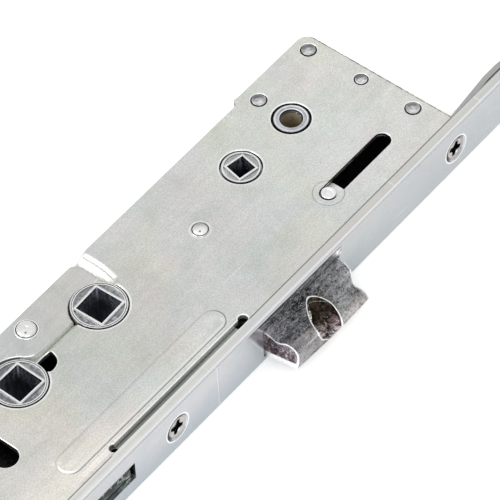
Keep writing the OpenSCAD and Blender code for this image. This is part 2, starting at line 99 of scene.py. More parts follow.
def ccw(loop):
    return list(loop) if area(loop) > 0 else list(loop)[::-1]


def resample(loop, step):
    """Adds points so that no side of a closed loop is longer than step."""
    out = []
    for i, p in enumerate(loop):
        q = loop[(i + 1) % len(loop)]
        d = math.hypot(q[0] - p[0], q[1] - p[1])
        k = max(1, int(math.ceil(d / step)))
        for j in range(k):
            out.append((p[0] + (q[0] - p[0]) * j / k, p[1] + (q[1] - p[1]) * j / k))
    return out


def offset(loop, d):
    """Moves a counter-clockwise loop inwards by d (outwards if d is negative)."""
    p = np.array(loop, float)
    e1 = p - np.roll(p, 1, 0)
    e2 = np.roll(p, -1, 0) - p
    n1 = np.stack([-e1[:, 1], e1[:, 0]], 1) / np.maximum(np.linalg.norm(e1, axis=1), 1e-12)[:, None]
    n2 = np.stack([-e2[:, 1], e2[:, 0]], 1) / np.maximum(np.linalg.norm(e2, axis=1), 1e-12)[:, None]
    m = n1 + n2
    m /= np.maximum(np.linalg.norm(m, axis=1), 1e-12)[:, None]
    k = np.asarray(d, float) / np.maximum((m * n1).sum(1), 0.5)
    return [tuple(x) for x in p + m * k[:, None]]


def inside(pts, loop):
    pts = np.asarray(pts, float)
    p = np.array(loop, float)
    q = np.roll(p, -1, 0)
    x, y = pts[:, 0][:, None], pts[:, 1][:, None]
    cond = (p[:, 1] > y) != (q[:, 1] > y)
    with np.errstate(divide="ignore", invalid="ignore"):
        xi = (q[:, 0] - p[:, 0]) * (y - p[:, 1]) / (q[:, 1] - p[:, 1]) + p[:, 0]
    return ((cond & (x < xi)).sum(1) % 2) == 1


def new_object(name, verts, faces, body, smooth_angle=30.0, mat=None, node_name=None):
    me = bpy.data.meshes.new(name)
    me.from_pydata([tuple(v) for v in verts], [], [tuple(f) for f in faces])
    bm = bmesh.new()
    bm.from_mesh(me)
    bmesh.ops.remove_doubles(bm, verts=bm.verts, dist=1e-7)
    bmesh.ops.recalc_face_normals(bm, faces=bm.faces)
    for f in bm.faces:
        f.smooth = True
    lim = math.radians(smooth_angle)
    for e in bm.edges:
        if len(e.link_faces) == 2 and e.calc_face_angle(0) > lim:
            e.smooth = False
    bm.to_mesh(me)
    bm.free()
    ob = bpy.data.objects.new(name, me)
    scene.collection.objects.link(ob)
    if mat:
        me.materials.append(mat)
    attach(ob, body)
    if node_name:
        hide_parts(node_name)
    return ob


def notch(x, y):
    """The long cut-out in the front edge of the case cover."""
    return -34 < x < 19.9 and y < 8 and not (y < 3.02)


def cover_kinds(li, ri, steps, x, y):
    # 1 bright arris (wear and painted highlight), 2 wall in painted shade
    if li == 0:
        if notch(x, y):
            return 1 if ri < 3 or ri == steps + 1 else 0
        if y > 49.4 and x < 71 and ri in (1, 2):
            return 2
        return 0
    if 3 <= ri <= steps:
        return 2
    if ri == steps + 1:
        return 1
    if ri < 3:
        # the side of the drive slot that faces the camera stays plain
        return 0 if 58 < x < 86 and 13.2 < y < 15.5 else 1
    return 0


def strap_kinds(li, ri, steps, x, y):
    # 1 bright edge (painted highlight), 2 wall in painted shade, 3 edge wall in painted light
    if li > 0:
        return 1 if ri < 3 else 2
    if ri < 3:
        return 1 if y < 45.5 and x < -20.5 and math.hypot(x + 30, y - 35) < 9.6 else 0
    return 3 if y < 40.5 and ri <= steps + 1 else 0


def sheet_piece(name, outer, holes, z_top, thick, rim, body, mat, extra=(), rim_in=0.3, node_name=None, edge_mat=None, kinds=None, more=()):
    """A sheet with holes, its upper face at z_top(x, y), the edge of every loop rolled over by rim."""
    outer = ccw(outer)
    holes = [ccw(h) for h in holes]
    r_out = [rim(*p) if callable(rim) else rim for p in outer]
    rims = [r_out] + [[rim_in] * len(h) for h in holes]
    ins_all = [offset(outer, r_out)] + [offset(h, -rim_in) for h in holes]
    edge_all = [outer] + holes
    pts, edges, loops = [], [], []
    for lp in ins_all:
        s = len(pts)
        pts += lp
        n = len(lp)
        edges += [(s + i, s + (i + 1) % n) for i in range(n)]
        loops.append((s, n))
    ext = np.array(extra, float).reshape(-1, 2)
    if len(ext):
        keep = inside(ext, offset(outer, [q + 0.25 for q in r_out]))
        for h in holes:
            keep &= ~inside(ext, offset(h, -rim_in - 0.2))
        pts += [tuple(x) for x in ext[keep]]
    v2, e2, f2, ov, oe, of_ = geometry.delaunay_2d_cdt([Vector(p) for p in pts], edges, [], 0, 1e-5, True)
    v2 = np.array([tuple(v) for v in v2])
    tri = np.array([f for f in f2 if len(f) == 3])
    cen = v2[tri].mean(1)
    keep = inside(cen, ins_all[0])
    for h in ins_all[1:]:
        keep &= ~inside(cen, h)
    tri = tri[keep]
    where = {}
    for i, src in enumerate(ov):
        for k in src:
            where[k] = i
    verts = [(x * MM, y * MM, z_top(x, y) * MM) for x, y in v2]
    nb = len(verts)
    verts += [(x * MM, y * MM, (z_top(x, y) - thick) * MM) for x, y in v2]
    faces = [tuple(t) for t in tri] + [tuple(nb + k for k in t[::-1]) for t in tri]
    steps = 4
    rb = 0.12
    special = {}
    for li, ((s, n), edge, ins, rr) in enumerate(zip(loops, edge_all, ins_all, rims)):
        rows = [[where[s + i] for i in range(n)]]
        for k in range(1, steps + 1):
            a = math.pi / 2 * k / steps
            t = math.sin(a)
            row = []
            for i in range(n):
                row.append(len(verts))
                verts.append(((ins[i][0] + (edge[i][0] - ins[i][0]) * t) * MM, (ins[i][1] + (edge[i][1] - ins[i][1]) * t) * MM,
                              (z_top(*ins[i]) - rr[i] * (1 - math.cos(a))) * MM))
            rows.append(row)
        for z_in in (rb, 0.0):
            row = []
            for i in range(n):
                t = 1.0 if z_in else 1.0 - rb / rr[i]
                row.append(len(verts))
                verts.append(((ins[i][0] + (edge[i][0] - ins[i][0]) * t) * MM, (ins[i][1] + (edge[i][1] - ins[i][1]) * t) * MM,
                              (z_top(*ins[i]) - thick + z_in) * MM))
            rows.append(row)
        rows.append([nb + where[s + i] for i in range(n)])
        for ri, (a, b) in enumerate(zip(rows, rows[1:])):
            for i in range(n):
                j = (i + 1) % n
                kd = kinds(li, ri, steps, *edge[i]) if kinds else 0
                if kd:
                    special[len(faces)] = kd
                faces.append((a[i], a[j], b[j], b[i]))
    ob = new_object(name, verts, faces, body, 40, mat, node_name)
    if edge_mat:
        ob.data.materials.append(edge_mat)
        for mt in more:
            ob.data.materials.append(mt)
        cen = {}
        for k, kd in special.items():
            c = (Vector(verts[faces[k][0]]) + Vector(verts[faces[k][1]]) + Vector(verts[faces[k][2]]) + Vector(verts[faces[k][3]])) * 0.25
            cen[tuple(round(x * 1e6) for x in c)] = kd
        for pl in ob.data.polygons:
            if len(pl.vertices) == 4:
                c = sum((ob.data.vertices[k].co for k in pl.vertices), Vector()) * 0.25
                q = tuple(round(x * 1e6) for x in c)
                hit = cen.get(q)
                if hit is None:
                    for a in (-1, 0, 1):
                        for b in (-1, 0, 1):
                            for d in (-1, 0, 1):
                                hit = hit or cen.get((q[0] + a, q[1] + b, q[2] + d))
                pl.material_index = hit or 0
    wn = ob.modifiers.new("even", "WEIGHTED_NORMAL")
    wn.keep_sharp = True
    wn.weight = 60
    return ob


# ------------------------------------------------------------------ materials
def node(nt, kind, x=0, y=0, **kw):
    n = nt.nodes.new(kind)
    n.location = (x, y)
    for k, v in kw.items():
        setattr(n, k, v)
    return n


def noise_tex(nt, co, scale, detail=3.0, rough=0.5, stretch=None, rot=None, x=-900, y=0, dist=0.0):
    if stretch or rot:
        mp = node(nt, "ShaderNodeMapping", x - 200, y)
        if stretch:
            mp.inputs["Scale"].default_value = stretch
        if rot:
            mp.inputs["Rotation"].default_value = rot
        nt.links.new(co, mp.inputs["Vector"])
        co = mp.outputs["Vector"]
    t = node(nt, "ShaderNodeTexNoise", x, y)
    t.inputs["Scale"].default_value = scale
    t.inputs["Detail"].default_value = detail
    t.inputs["Roughness"].default_value = rough
    t.inputs["Distortion"].default_value = dist
    nt.links.new(co, t.inputs["Vector"])
    return t.outputs["Fac"]


def ramp(nt, fac, stops, x=-600, y=0, interp="LINEAR"):
    r = node(nt, "ShaderNodeValToRGB", x, y)
    r.color_ramp.interpolation = interp
    els = r.color_ramp.elements
    while len(els) > 1:
        els.remove(els[0])
    els[0].position = stops[0][0]
    els[0].color = (*stops[0][1], 1)
    for p, c in stops[1:]:
        e = els.new(p)
        e.color = (*c, 1)
    nt.links.new(fac, r.inputs["Fac"])
    return r.outputs["Color"]


def mix(nt, a, b, fac, mode="MIX", x=-300, y=0):
    m = node(nt, "ShaderNodeMix", x, y, data_type="RGBA", blend_type=mode)
    if isinstance(fac, (int, float)):
        m.inputs["Factor"].default_value = fac
    else:
        nt.links.new(fac, m.inputs["Factor"])
    for sock, v in ((m.inputs[6], a), (m.inputs[7], b)):
        if isinstance(v, tuple):
            sock.default_value = (*v, 1) if len(v) == 3 else v
        else:
            nt.links.new(v, sock)
    return m.outputs[2]


def maths(nt, op, a, b=None, x=-300, y=-300, clamp=False):
    m = node(nt, "ShaderNodeMath", x, y, operation=op, use_clamp=clamp)
    for i, v in enumerate((a, b)):
        if v is None:
            continue
        if isinstance(v, (int, float)):
            m.inputs[i].default_value = v
        else:
            nt.links.new(v, m.inputs[i])
    return m.outputs[0]


def remap(nt, v, a, b, c, d, x=-400, y=-300):
    m = node(nt, "ShaderNodeMapRange", x, y)
    nt.links.new(v, m.inputs["Value"])
    for k, val in zip(("From Min", "From Max", "To Min", "To Max"), (a, b, c, d)):
        m.inputs[k].default_value = val
    return m.outputs["Result"]


def metal(name, col_a, col_b, rough=(0.32, 0.46), metallic=0.9, grain=(1, 1, 1), grain_amt=0.10, mottle=0.5, specks=0.5,
          crevice=0.55, bump=0.15, bump_scale=900, edge=0.35, spec_col=(1, 1, 1), blotch=None, scratch=0.35, ao_dist=0.004,
          fine_tex=(1500, 0.03), speck_tex=(620, 0.735, 0.77), ao_range=(0.15, 0.75), scales=(45, 260), after=None):
    m = bpy.data.materials.new(name)
    m.use_nodes = True
    nt = m.node_tree
    nt.nodes.clear()
    out = node(nt, "ShaderNodeOutputMaterial", 600, 0)
    p = node(nt, "ShaderNodeBsdfPrincipled", 300, 0)
    nt.links.new(p.outputs[0], out.inputs[0])
    co = node(nt, "ShaderNodeTexCoord", -1400, 0).outputs["Object"]
    big = noise_tex(nt, co, scales[0], 3, 0.55, x=-900, y=300)
    mid = noise_tex(nt, co, scales[1], 4, 0.6, x=-900, y=100)
    fine = noise_tex(nt, co, fine_tex[0], 2, 0.6, x=-900, y=-100)
    line = noise_tex(nt, co, 700, 3, 0.6, stretch=grain, x=-900, y=-300)
    both = maths(nt, "ADD", maths(nt, "MULTIPLY", big, 0.55, -700, 300), maths(nt, "MULTIPLY", mid, 0.45, -700, 100), -600, 250)
    f = remap(nt, both, 0.5 - 0.18 / max(mottle, 0.05), 0.5 + 0.18 / max(mottle, 0.05), 0, 1, -450, 250)
    col = mix(nt, col_a, col_b, f, x=-300, y=200)
    if blotch:
        bl = noise_tex(nt, co, blotch[0], 4, 0.62, x=-900, y=600, dist=0.6)
        bf = remap(nt, bl, blotch[1], blotch[2], 0, 1, -450, 600)
        col = mix(nt, col, blotch[3], bf, x=-200, y=400)
    # rolled grain
    g = remap(nt, line, 0.3, 0.7, 1 - grain_amt, 1 + grain_amt, -450, -250)
    col = mix(nt, col, g, 1.0, "MULTIPLY", -100, 200)
    fg = remap(nt, fine, 0.3, 0.7, 1 - fine_tex[1], 1 + fine_tex[1], -450, -100)
    col = mix(nt, col, fg, 1.0, "MULTIPLY", -50, 100)
    # bright specks
    if specks > 0:
        sp = noise_tex(nt, co, speck_tex[0], 1, 0.4, x=-900, y=-500)
        sf = remap(nt, sp, speck_tex[1], speck_tex[2], 0, specks, -450, -500)
        col = mix(nt, col, spec_col, sf, x=0, y=50)
    if scratch > 0:
        s1 = noise_tex(nt, co, 420, 1, 0.4, stretch=(0.12, 2.6, 2.6), rot=(0, 0, 0.7), x=-900, y=-700)
        s2 = noise_tex(nt, co, 420, 1, 0.4, stretch=(2.6, 0.10, 2.6), rot=(0, 0, 0.35), x=-900, y=-900)
        sm = maths(nt, "MAXIMUM", s1, s2, -600, -800)
        scf = remap(nt, sm, 0.75, 0.80, 0, scratch, -450, -800)
        col = mix(nt, col, spec_col, scf, x=50, y=0)
    # worn convex edges
    geo = node(nt, "ShaderNodeNewGeometry", -900, -1100)
    pf = remap(nt, geo.outputs["Pointiness"], 0.53, 0.62, 0, edge, -450, -1100)
    col = mix(nt, col, spec_col, pf, x=100, y=0)
    # painted shade in narrow places (ambient occlusion darkening)
    if crevice > 0:
        ao = node(nt, "ShaderNodeAmbientOcclusion", -900, -1300, samples=6)
        ao.inputs["Distance"].default_value = ao_dist
        af = remap(nt, ao.outputs["AO"], ao_range[0], ao_range[1], crevice, 0, -450, -1300)
        col = mix(nt, col, tuple(c * 0.08 for c in col_a), af, x=150, y=0)
    if after:
        col = after(nt, co, col)
    nt.links.new(col, p.inputs["Base Color"])
    p.inputs["Metallic"].default_value = metallic
    r = maths(nt, "ADD", remap(nt, mid, 0.3, 0.7, rough[0], rough[1], -450, -1500), maths(nt, "MULTIPLY", maths(nt, "SUBTRACT", line, 0.5), 0.12), -200, -1500, True)
    nt.links.new(r, p.inputs["Roughness"])
    bn = noise_tex(nt, co, bump_scale, 4, 0.6, x=-900, y=-1700)
    hsum = maths(nt, "ADD", maths(nt, "MULTIPLY", bn, 0.6), maths(nt, "MULTIPLY", line, 0.5), -300, -1700)
    b = node(nt, "ShaderNodeBump", 0, -1500)
    b.inputs["Strength"].default_value = bump
    b.inputs["Distance"].default_value = 0.0001
    nt.links.new(hsum, b.inputs["Height"])
    nt.links.new(b.outputs[0], p.inputs["Normal"])
    return m


HC, HA, HB, HK, HE = (34.973, -6.481), 4.101, 4.553, 0.095, 0.415


def egg(t, f=1.0):
    """Outline of the latch hole at angle t (degrees), wider towards the nose."""
    s, c = math.sin(math.radians(t)), math.cos(math.radians(t))
    return (HC[0] + HK * HB * s * f + HA * (1 - HE * s * f) * c * f, HC[1] + HB * s * f)


def egg_r(x, y):
    w = (y - HC[1]) / HB
    return math.hypot((x - HC[0] - HK * (y - HC[1])) / (HA * max(0.1, 1 - HE * w)), w)


RV_ALL = [(95.5, 45.8), (95.8, 29), (96, 12.6), (74.8, 45.3), (-123.6, 44.6), (-123.6, 29), (-123.6, 13), (-66, 44.6)]
SCREW_X = [97.2, -12.8, -70] + [h + b for h in (215, -215) for b in (-46.6, 23.2)]
RIB = ((12.8, 9.7), (-40.8, 9.7))


def comp(nt, co, axis):
    sp = node(nt, "ShaderNodeSeparateXYZ", -1200, 900)
    nt.links.new(co, sp.inputs[0])
    return sp.outputs[axis]


def near(nt, v, c, half, soft):
    """1 where |v - c| < half, falling to 0 within soft (metres)."""
    d = maths(nt, "ABSOLUTE", maths(nt, "SUBTRACT", v, c))
    return remap(nt, d, half, half + soft, 1, 0)


def both_of(nt, *m):
    r = m[0]
    for k in m[1:]:
        r = maths(nt, "MULTIPLY", r, k)
    return r


def facing(nt, axis, lo, hi):
    g = node(nt, "ShaderNodeNewGeometry", -1200, 1200)
    return remap(nt, comp(nt, g.outputs["Normal"], axis), lo, hi, 0, 1)


def hued(nt, co, col, tones, amt):
    """Pale interference colours of passivated zinc."""
    for k, (scale, off, tone) in enumerate(tones):
        mp = node(nt, "ShaderNodeMapping", -1200, 1500 + 200 * k)
        mp.inputs["Location"].default_value = (off, off * 0.7, 0)
        nt.links.new(co, mp.inputs["Vector"])
        n = noise_tex(nt, mp.outputs[0], scale, 3, 0.6, x=-1000, y=1500 + 200 * k, dist=0.4)
        col = mix(nt, col, tone, maths(nt, "MULTIPLY", remap(nt, n, 0.47, 0.66, 0, 1), amt), "MULTIPLY")
    return col


def zinc_finish_and_painted_light(nt, co, col):
    col = hued(nt, co, col, ((42, 0.31, (1.0, 1.0, 0.93)), (37, 1.7, (0.945, 1.0, 1.0)), (55, 3.1, (1.0, 0.955, 0.97)), (110, 5.3, (0.92, 0.94, 0.925))), 1.0)
    x = comp(nt, co, "X")
    # painted light: brightness graded along the length
    tone = ramp(nt, remap(nt, x, -0.128, 0.100, 0, 1), [(0.0, (1.06, 1.04, 1.01)), (0.22, (1.06, 1.045, 1.01)), (0.425, (1.035, 1.01, 0.985)), (0.48, (0.925, 0.93, 0.92)), (0.56, (0.915, 0.925, 0.93)), (0.605, (0.96, 0.97, 0.975)),
                                                         (0.65, (1.025, 1.02, 1.01)), (0.715, (0.985, 0.985, 0.98)), (0.78, (1.035, 1.05, 1.06)), (0.868, (1.08, 1.085, 1.08)), (0.978, (1.13, 1.12, 1.09))])
    col = mix(nt, col, tone, 1.0, "MULTIPLY")
    yy = comp(nt, co, "Y")
    # painted light: a lighter patch on the top near the front edge, round the rib
    col = mix(nt, col, (1.20, 1.165, 1.15), both_of(nt, remap(nt, x, 0.017, 0.006, 0, 1), remap(nt, yy, 0.0085, 0.0150, 1, 0), remap(nt, comp(nt, co, "Z"), 0.0070, 0.0073, 0, 1)), "MULTIPLY")
    # stained cut edge at the top, and dirt in the seam along the faceplate
    st = noise_tex(nt, co, 900, 3, 0.7, x=-1000, y=2600)
    col = mix(nt, col, (0.16, 0.13, 0.11), both_of(nt, remap(nt, x, 0.0991, 0.0994, 0, 1), remap(nt, x, 0.1004, 0.1002, 0, 1), remap(nt, st, 0.40, 0.54, 0.15, 0.95)))
    y = comp(nt, co, "Y")
    z = comp(nt, co, "Z")
    top = remap(nt, z, 0.0070, 0.0073, 0, 1)
    ln = noise_tex(nt, co, 1500, 2, 0.5, stretch=(0.004, 1, 0.2), x=-1000, y=2900)
    lane = both_of(nt, remap(nt, y, 0.0074, 0.0064, 0, 1), top, remap(nt, x, 0.0205, 0.0170, 0, 1), remap(nt, x, -0.046, -0.040, 0, 1))
    col = mix(nt, col, remap(nt, ln, 0.38, 0.62, 0.88, 1.16), lane, "MULTIPLY")
    col = mix(nt, col, (0.02, 0.02, 0.02), both_of(nt, near(nt, y, 0.00304, 0.00007, 0.00008), top, remap(nt, st, 0.30, 0.5, 0.40, 0.70)))
    # distance from the middle line of the pressed rib: a painted shade line on the flank away from the light, a painted
    # highlight on the lit flank
    cx = node(nt, "ShaderNodeClamp", -1000, 3200)
    cx.inputs["Min"].default_value = RIB[1][0] * MM
    cx.inputs["Max"].default_value = RIB[0][0] * MM
    nt.links.new(x, cx.inputs["Value"])
    dx = maths(nt, "SUBTRACT", x, cx.outputs[0])
    dy = maths(nt, "SUBTRACT", y, RIB[0][1] * MM)
    d = maths(nt, "SQRT", maths(nt, "ADD", maths(nt, "MULTIPLY", dx, dx), maths(nt, "MULTIPLY", dy, dy)))
    side = remap(nt, maths(nt, "SUBTRACT", dy, dx), -0.0018, 0.0010, 0.75, 0.22)
    col = mix(nt, col, (0.10, 0.105, 0.10), both_of(nt, near(nt, d, 0.00334, 0.00007, 0.00011), top, side))
    lit = remap(nt, maths(nt, "SUBTRACT", dy, dx), -0.0018, 0.0010, 0.75, 0.30)
    col = mix(nt, col, (0.93, 0.93, 0.91), both_of(nt, near(nt, d, 0.00290, 0.00010, 0.00016), top, lit))
    # painted light on the slope of the recess along the strap
    slope = both_of(nt, near(nt, y, 0.0363, 0.0009, 0.0003), remap(nt, x, 0.0085, 0.0070, 0, 1), remap(nt, x, -0.074, -0.072, 0, 1), remap(nt, z, 0.0053, 0.0056, 0, 1))
    col = mix(nt, col, (1.25, 1.26, 1.22), slope, "MULTIPLY")
    # painted highlights: bright rings round the follower and bush holes and round the small domed rivet; painted shade
    # in the stamped ring round the pin
    for cx_, cy_, rr, hw, amt in ((0, 35, 7.90, 0.13, 0.75), (-30, 35, 7.90, 0.13, 0.75), (55, 35, 5.80, 0.12, 0.6), (75, 35, 5.45, 0.12, 0.6), (33.2, 30.3, 2.66, 0.13, 0.7)):
        ex, ey = maths(nt, "SUBTRACT", x, cx_ * MM), maths(nt, "SUBTRACT", y, cy_ * MM)
        ed = maths(nt, "SQRT", maths(nt, "ADD", maths(nt, "MULTIPLY", ex, ex), maths(nt, "MULTIPLY", ey, ey)))
        col = mix(nt, col, (0.95, 0.95, 0.93), both_of(nt, near(nt, ed, rr * MM, hw * MM, 0.00013), top, remap(nt, st, 0.32, 0.5, amt * 0.5, amt)))
    ex, ey = maths(nt, "SUBTRACT", x, 0.0616), maths(nt, "SUBTRACT", y, 0.01238)
    ed = maths(nt, "SQRT", maths(nt, "ADD", maths(nt, "MULTIPLY", ex, ex), maths(nt, "MULTIPLY", ey, ey)))
    col = mix(nt, col, (0.12, 0.12, 0.115), both_of(nt, near(nt, ed, 0.00402, 0.00006, 0.00010), top, remap(nt, st, 0.35, 0.55, 0.15, 0.6)))
    # painted shade on the floor inside the case
    case_floor_shade = both_of(nt, near(nt, z, -0.0064, 0.0004, 0.0003), facing(nt, "Z", 0.4, 0.8))
    col = mix(nt, col, (0.030, 0.032, 0.032), maths(nt, "MULTIPLY", case_floor_shade, 0.93))
    return col


def strap_finish_and_painted_light(nt, co, col):
    col = hued(nt, co, col, ((60, 0.6, (1.0, 1.0, 0.95)), (48, 2.2, (0.94, 0.97, 1.0)), (140, 5.3, (0.88, 0.90, 0.89))), 0.9)
    # painted light: brightness graded along the strap, warmer towards the upper follower
    tone = ramp(nt, remap(nt, comp(nt, co, "X"), -0.072, 0.007, 0, 1), [(0.0, (1.05, 1.05, 1.04)), (0.66, (1.03, 1.035, 1.03)), (0.82, (1.10, 1.05, 1.01)), (1.0, (1.12, 1.07, 1.03))])
    return mix(nt, col, tone, 1.0, "MULTIPLY")


def plate_finish_and_painted_light(nt, co, col):
    z, y, x = comp(nt, co, "Z"), comp(nt, co, "Y"), comp(nt, co, "X")
    # painted light: the top side lighter and warmer, the front darker and bluer, graded along the length and, on the
    # front, with height
    up = facing(nt, "Z", 0.75, 0.92)
    fr = facing(nt, "Y", -0.75, -0.92)
    side = ramp(nt, remap(nt, x, -0.12, 0.12, 0, 1), [(0.0, (1.16, 1.13, 1.06)), (0.37, (1.18, 1.15, 1.06)), (0.60, (1.10, 1.06, 1.0)), (0.70, (1.03, 0.98, 0.91)), (1.0, (1.05, 1.02, 0.935))])
    col = mix(nt, col, side, up, "MULTIPLY")
    tone = ramp(nt, remap(nt, x, -0.12, 0.12, 0, 1), [(0.0, (0.83, 0.85, 0.88)), (0.33, (0.80, 0.83, 0.865)), (0.52, (0.80, 0.83, 0.87)), (0.72, (0.71, 0.75, 0.76)), (0.80, (0.80, 0.81, 0.815)), (0.86, (0.795, 0.80, 0.80)), (0.93, (0.80, 0.81, 0.81)), (1.0, (0.83, 0.84, 0.84))])
    col = mix(nt, col, tone, fr, "MULTIPLY")
    zt = ramp(nt, remap(nt, z, -0.007, 0.007, 0, 1), [(0.0, (0.90, 0.92, 0.91)), (0.25, (0.95, 0.96, 0.955)), (0.5, (1.05, 1.02, 1.0)), (0.75, (1.14, 1.09, 1.035)), (0.95, (1.11, 1.05, 1.01))])
    col = mix(nt, col, zt, both_of(nt, fr, remap(nt, x, 0.075, 0.055, 0, 1)), "MULTIPLY")
    col = mix(nt, col, (0.885, 0.885, 0.875), fr, "MULTIPLY")
    # drawn lines along the side
    ln = noise_tex(nt, co, 900, 2, 0.5, stretch=(0.006, 1, 0.3), x=-1000, y=1800)
    col = mix(nt, col, remap(nt, ln, 0.35, 0.65, 0.90, 1.08), up, "MULTIPLY")
    col = hued(nt, co, col, ((38, 0.9, (0.955, 0.975, 1.0)), (90, 2.9, (0.93, 0.95, 0.97))), 0.7)
    # painted highlight where the side rolls over to the front
    roll = both_of(nt, near(nt, y, 0.00060, 0.00016, 0.00018), remap(nt, z, 0.0072, 0.0075, 0, 0.6))
    col = mix(nt, col, (0.95, 0.95, 0.94), roll)
    # painted highlight on the back edge along the cut-out, dirt in the seam elsewhere
    run = both_of(nt, remap(nt, x, -0.0335, -0.0325, 0, 1), remap(nt, x, 0.0190, 0.0180, 0, 1))
    seam = both_of(nt, near(nt, y, 0.00295, 0.00010, 0.00010), remap(nt, z, 0.0074, 0.0077, 0, 1))
    col = mix(nt, col, (0.05, 0.05, 0.05), both_of(nt, seam, maths(nt, "SUBTRACT", 0.55, maths(nt, "MULTIPLY", run, 0.55))))
    col = mix(nt, col, (0.95, 0.95, 0.94), both_of(nt, seam, run))
    # a broken light line and a darker line beside it across the front
    broken = noise_tex(nt, co, 420, 2, 0.6, x=-1000, y=3000)
    sc = both_of(nt, near(nt, x, 0.0026, 0.00006, 0.00009), fr, remap(nt, broken, 0.35, 0.55, 0.15, 0.42))
    col = mix(nt, col, (0.97, 0.97, 0.98), sc)
    sd = both_of(nt, near(nt, x, 0.0031, 0.00008, 0.00012), fr, remap(nt, broken, 0.40, 0.6, 0.08, 0.28))
    col = mix(nt, col, (0.30, 0.31, 0.34), sd)
    # countersinks: painted shade on the upper wall, painted highlight on the arris
    for xs in SCREW_X:
        dx = maths(nt, "SUBTRACT", x, xs * MM)
        d = maths(nt, "SQRT", maths(nt, "ADD", maths(nt, "MULTIPLY", dx, dx), maths(nt, "MULTIPLY", z, z)))
        wall = both_of(nt, remap(nt, d, 0.0042, 0.0040, 0, 1), remap(nt, y, 0.00002, 0.00006, 0, 1))
        shade = remap(nt, maths(nt, "SUBTRACT", z, dx), -0.0022, 0.0006, 0.15, 0.96)
        col = mix(nt, col, (0.012, 0.012, 0.013), both_of(nt, wall, shade))
        col = mix(nt, col, (0.95, 0.95, 0.95), both_of(nt, near(nt, d, 0.00415, 0.00012, 0.00012), remap(nt, y, 0.00006, 0.00003, 0, 0.8)))
    # painted shade on the walls of the deadbolt slot, the lower wall lighter and mottled
    wall = both_of(nt, remap(nt, y, 0.00004, 0.00012, 0, 1), near(nt, z, 0.0, 0.0030, 0.0002), near(nt, x, -0.0452, 0.0168, 0.0002))
    wn = noise_tex(nt, co, 900, 3, 0.65, x=-1000, y=1500, dist=0.6)
    low = remap(nt, z, -0.0024, -0.0028, 0, 1)
    col = mix(nt, col, (0.006, 0.007, 0.008), both_of(nt, wall, maths(nt, "SUBTRACT", 0.96, maths(nt, "MULTIPLY", low, 0.96))))
    col = mix(nt, col, ramp(nt, wn, [(0.40, (0.22, 0.25, 0.26)), (0.60, (0.52, 0.58, 0.60))]), both_of(nt, wall, low, remap(nt, x, -0.0300, -0.0315, 0.5, 0.9)))
    # painted reflection of the latch in the front above it, with a dark line along its top
    tz = both_of(nt, remap(nt, z, 0.0068, 0.0063, 0, 1), remap(nt, z, 0.0036, 0.0038, 0, 1), remap(nt, x, 0.0190, 0.0205, 0, 1), remap(nt, x, 0.0515, 0.0500, 0, 1))
    tn = noise_tex(nt, co, 900, 4, 0.7, stretch=(0.5, 1, 1), x=-1000, y=2200, dist=0.5)
    col = mix(nt, col, ramp(nt, tn, [(0.40, (0.12, 0.122, 0.125)), (0.50, (0.42, 0.425, 0.43)), (0.60, (0.85, 0.85, 0.86))]), maths(nt, "MULTIPLY", tz, 0.96))
    col = mix(nt, col, (0.02, 0.022, 0.022), both_of(nt, near(nt, z, 0.0066, 0.00012, 0.00015), remap(nt, x, 0.0190, 0.0205, 0, 1), remap(nt, x, 0.0515, 0.0500, 0, 0.8)))
    return col


def drive_finish_and_painted_light(nt, co, col):
    y, x = comp(nt, co, "Y"), comp(nt, co, "X")
    # painted highlight on the end of the slide seen through the pin slot
    end = both_of(nt, remap(nt, x, 0.058, 0.060, 0, 1), remap(nt, y, 0.0085, 0.0100, 0, 1))
    col = mix(nt, col, (0.90, 0.90, 0.89), end)
    z = comp(nt, co, "Z")
    lane = both_of(nt, remap(nt, y, 0.0062, 0.0052, 0, 1), remap(nt, z, 0.0056, 0.0058, 0, 1), remap(nt, x, 0.0250, 0.0220, 0, 1), remap(nt, x, -0.038, -0.036, 0, 1))
    # painted shade round the tops of the two holes under the ends of the cut-out
    for cx_, cy_, rr in ((18.0, 4.6, 2.28), (-31.0, 3.75, 1.53)):
        ex, ey = maths(nt, "SUBTRACT", x, cx_ * MM), maths(nt, "SUBTRACT", y, cy_ * MM)
        ed = maths(nt, "SQRT", maths(nt, "ADD", maths(nt, "MULTIPLY", ex, ex), maths(nt, "MULTIPLY", ey, ey)))
        col = mix(nt, col, (0.01, 0.01, 0.01), both_of(nt, remap(nt, ed, rr * MM + 0.00004, rr * MM, 0, 1), remap(nt, z, 0.00599, 0.0058, 0, 0.97)))
    gn = noise_tex(nt, co, 700, 3, 0.6, stretch=(0.05, 1, 1), x=-1000, y=1500)
    col = mix(nt, col, ramp(nt, gn, [(0.35, (0.56, 0.555, 0.54)), (0.65, (0.80, 0.79, 0.765))]), lane, "MULTIPLY")
    return col


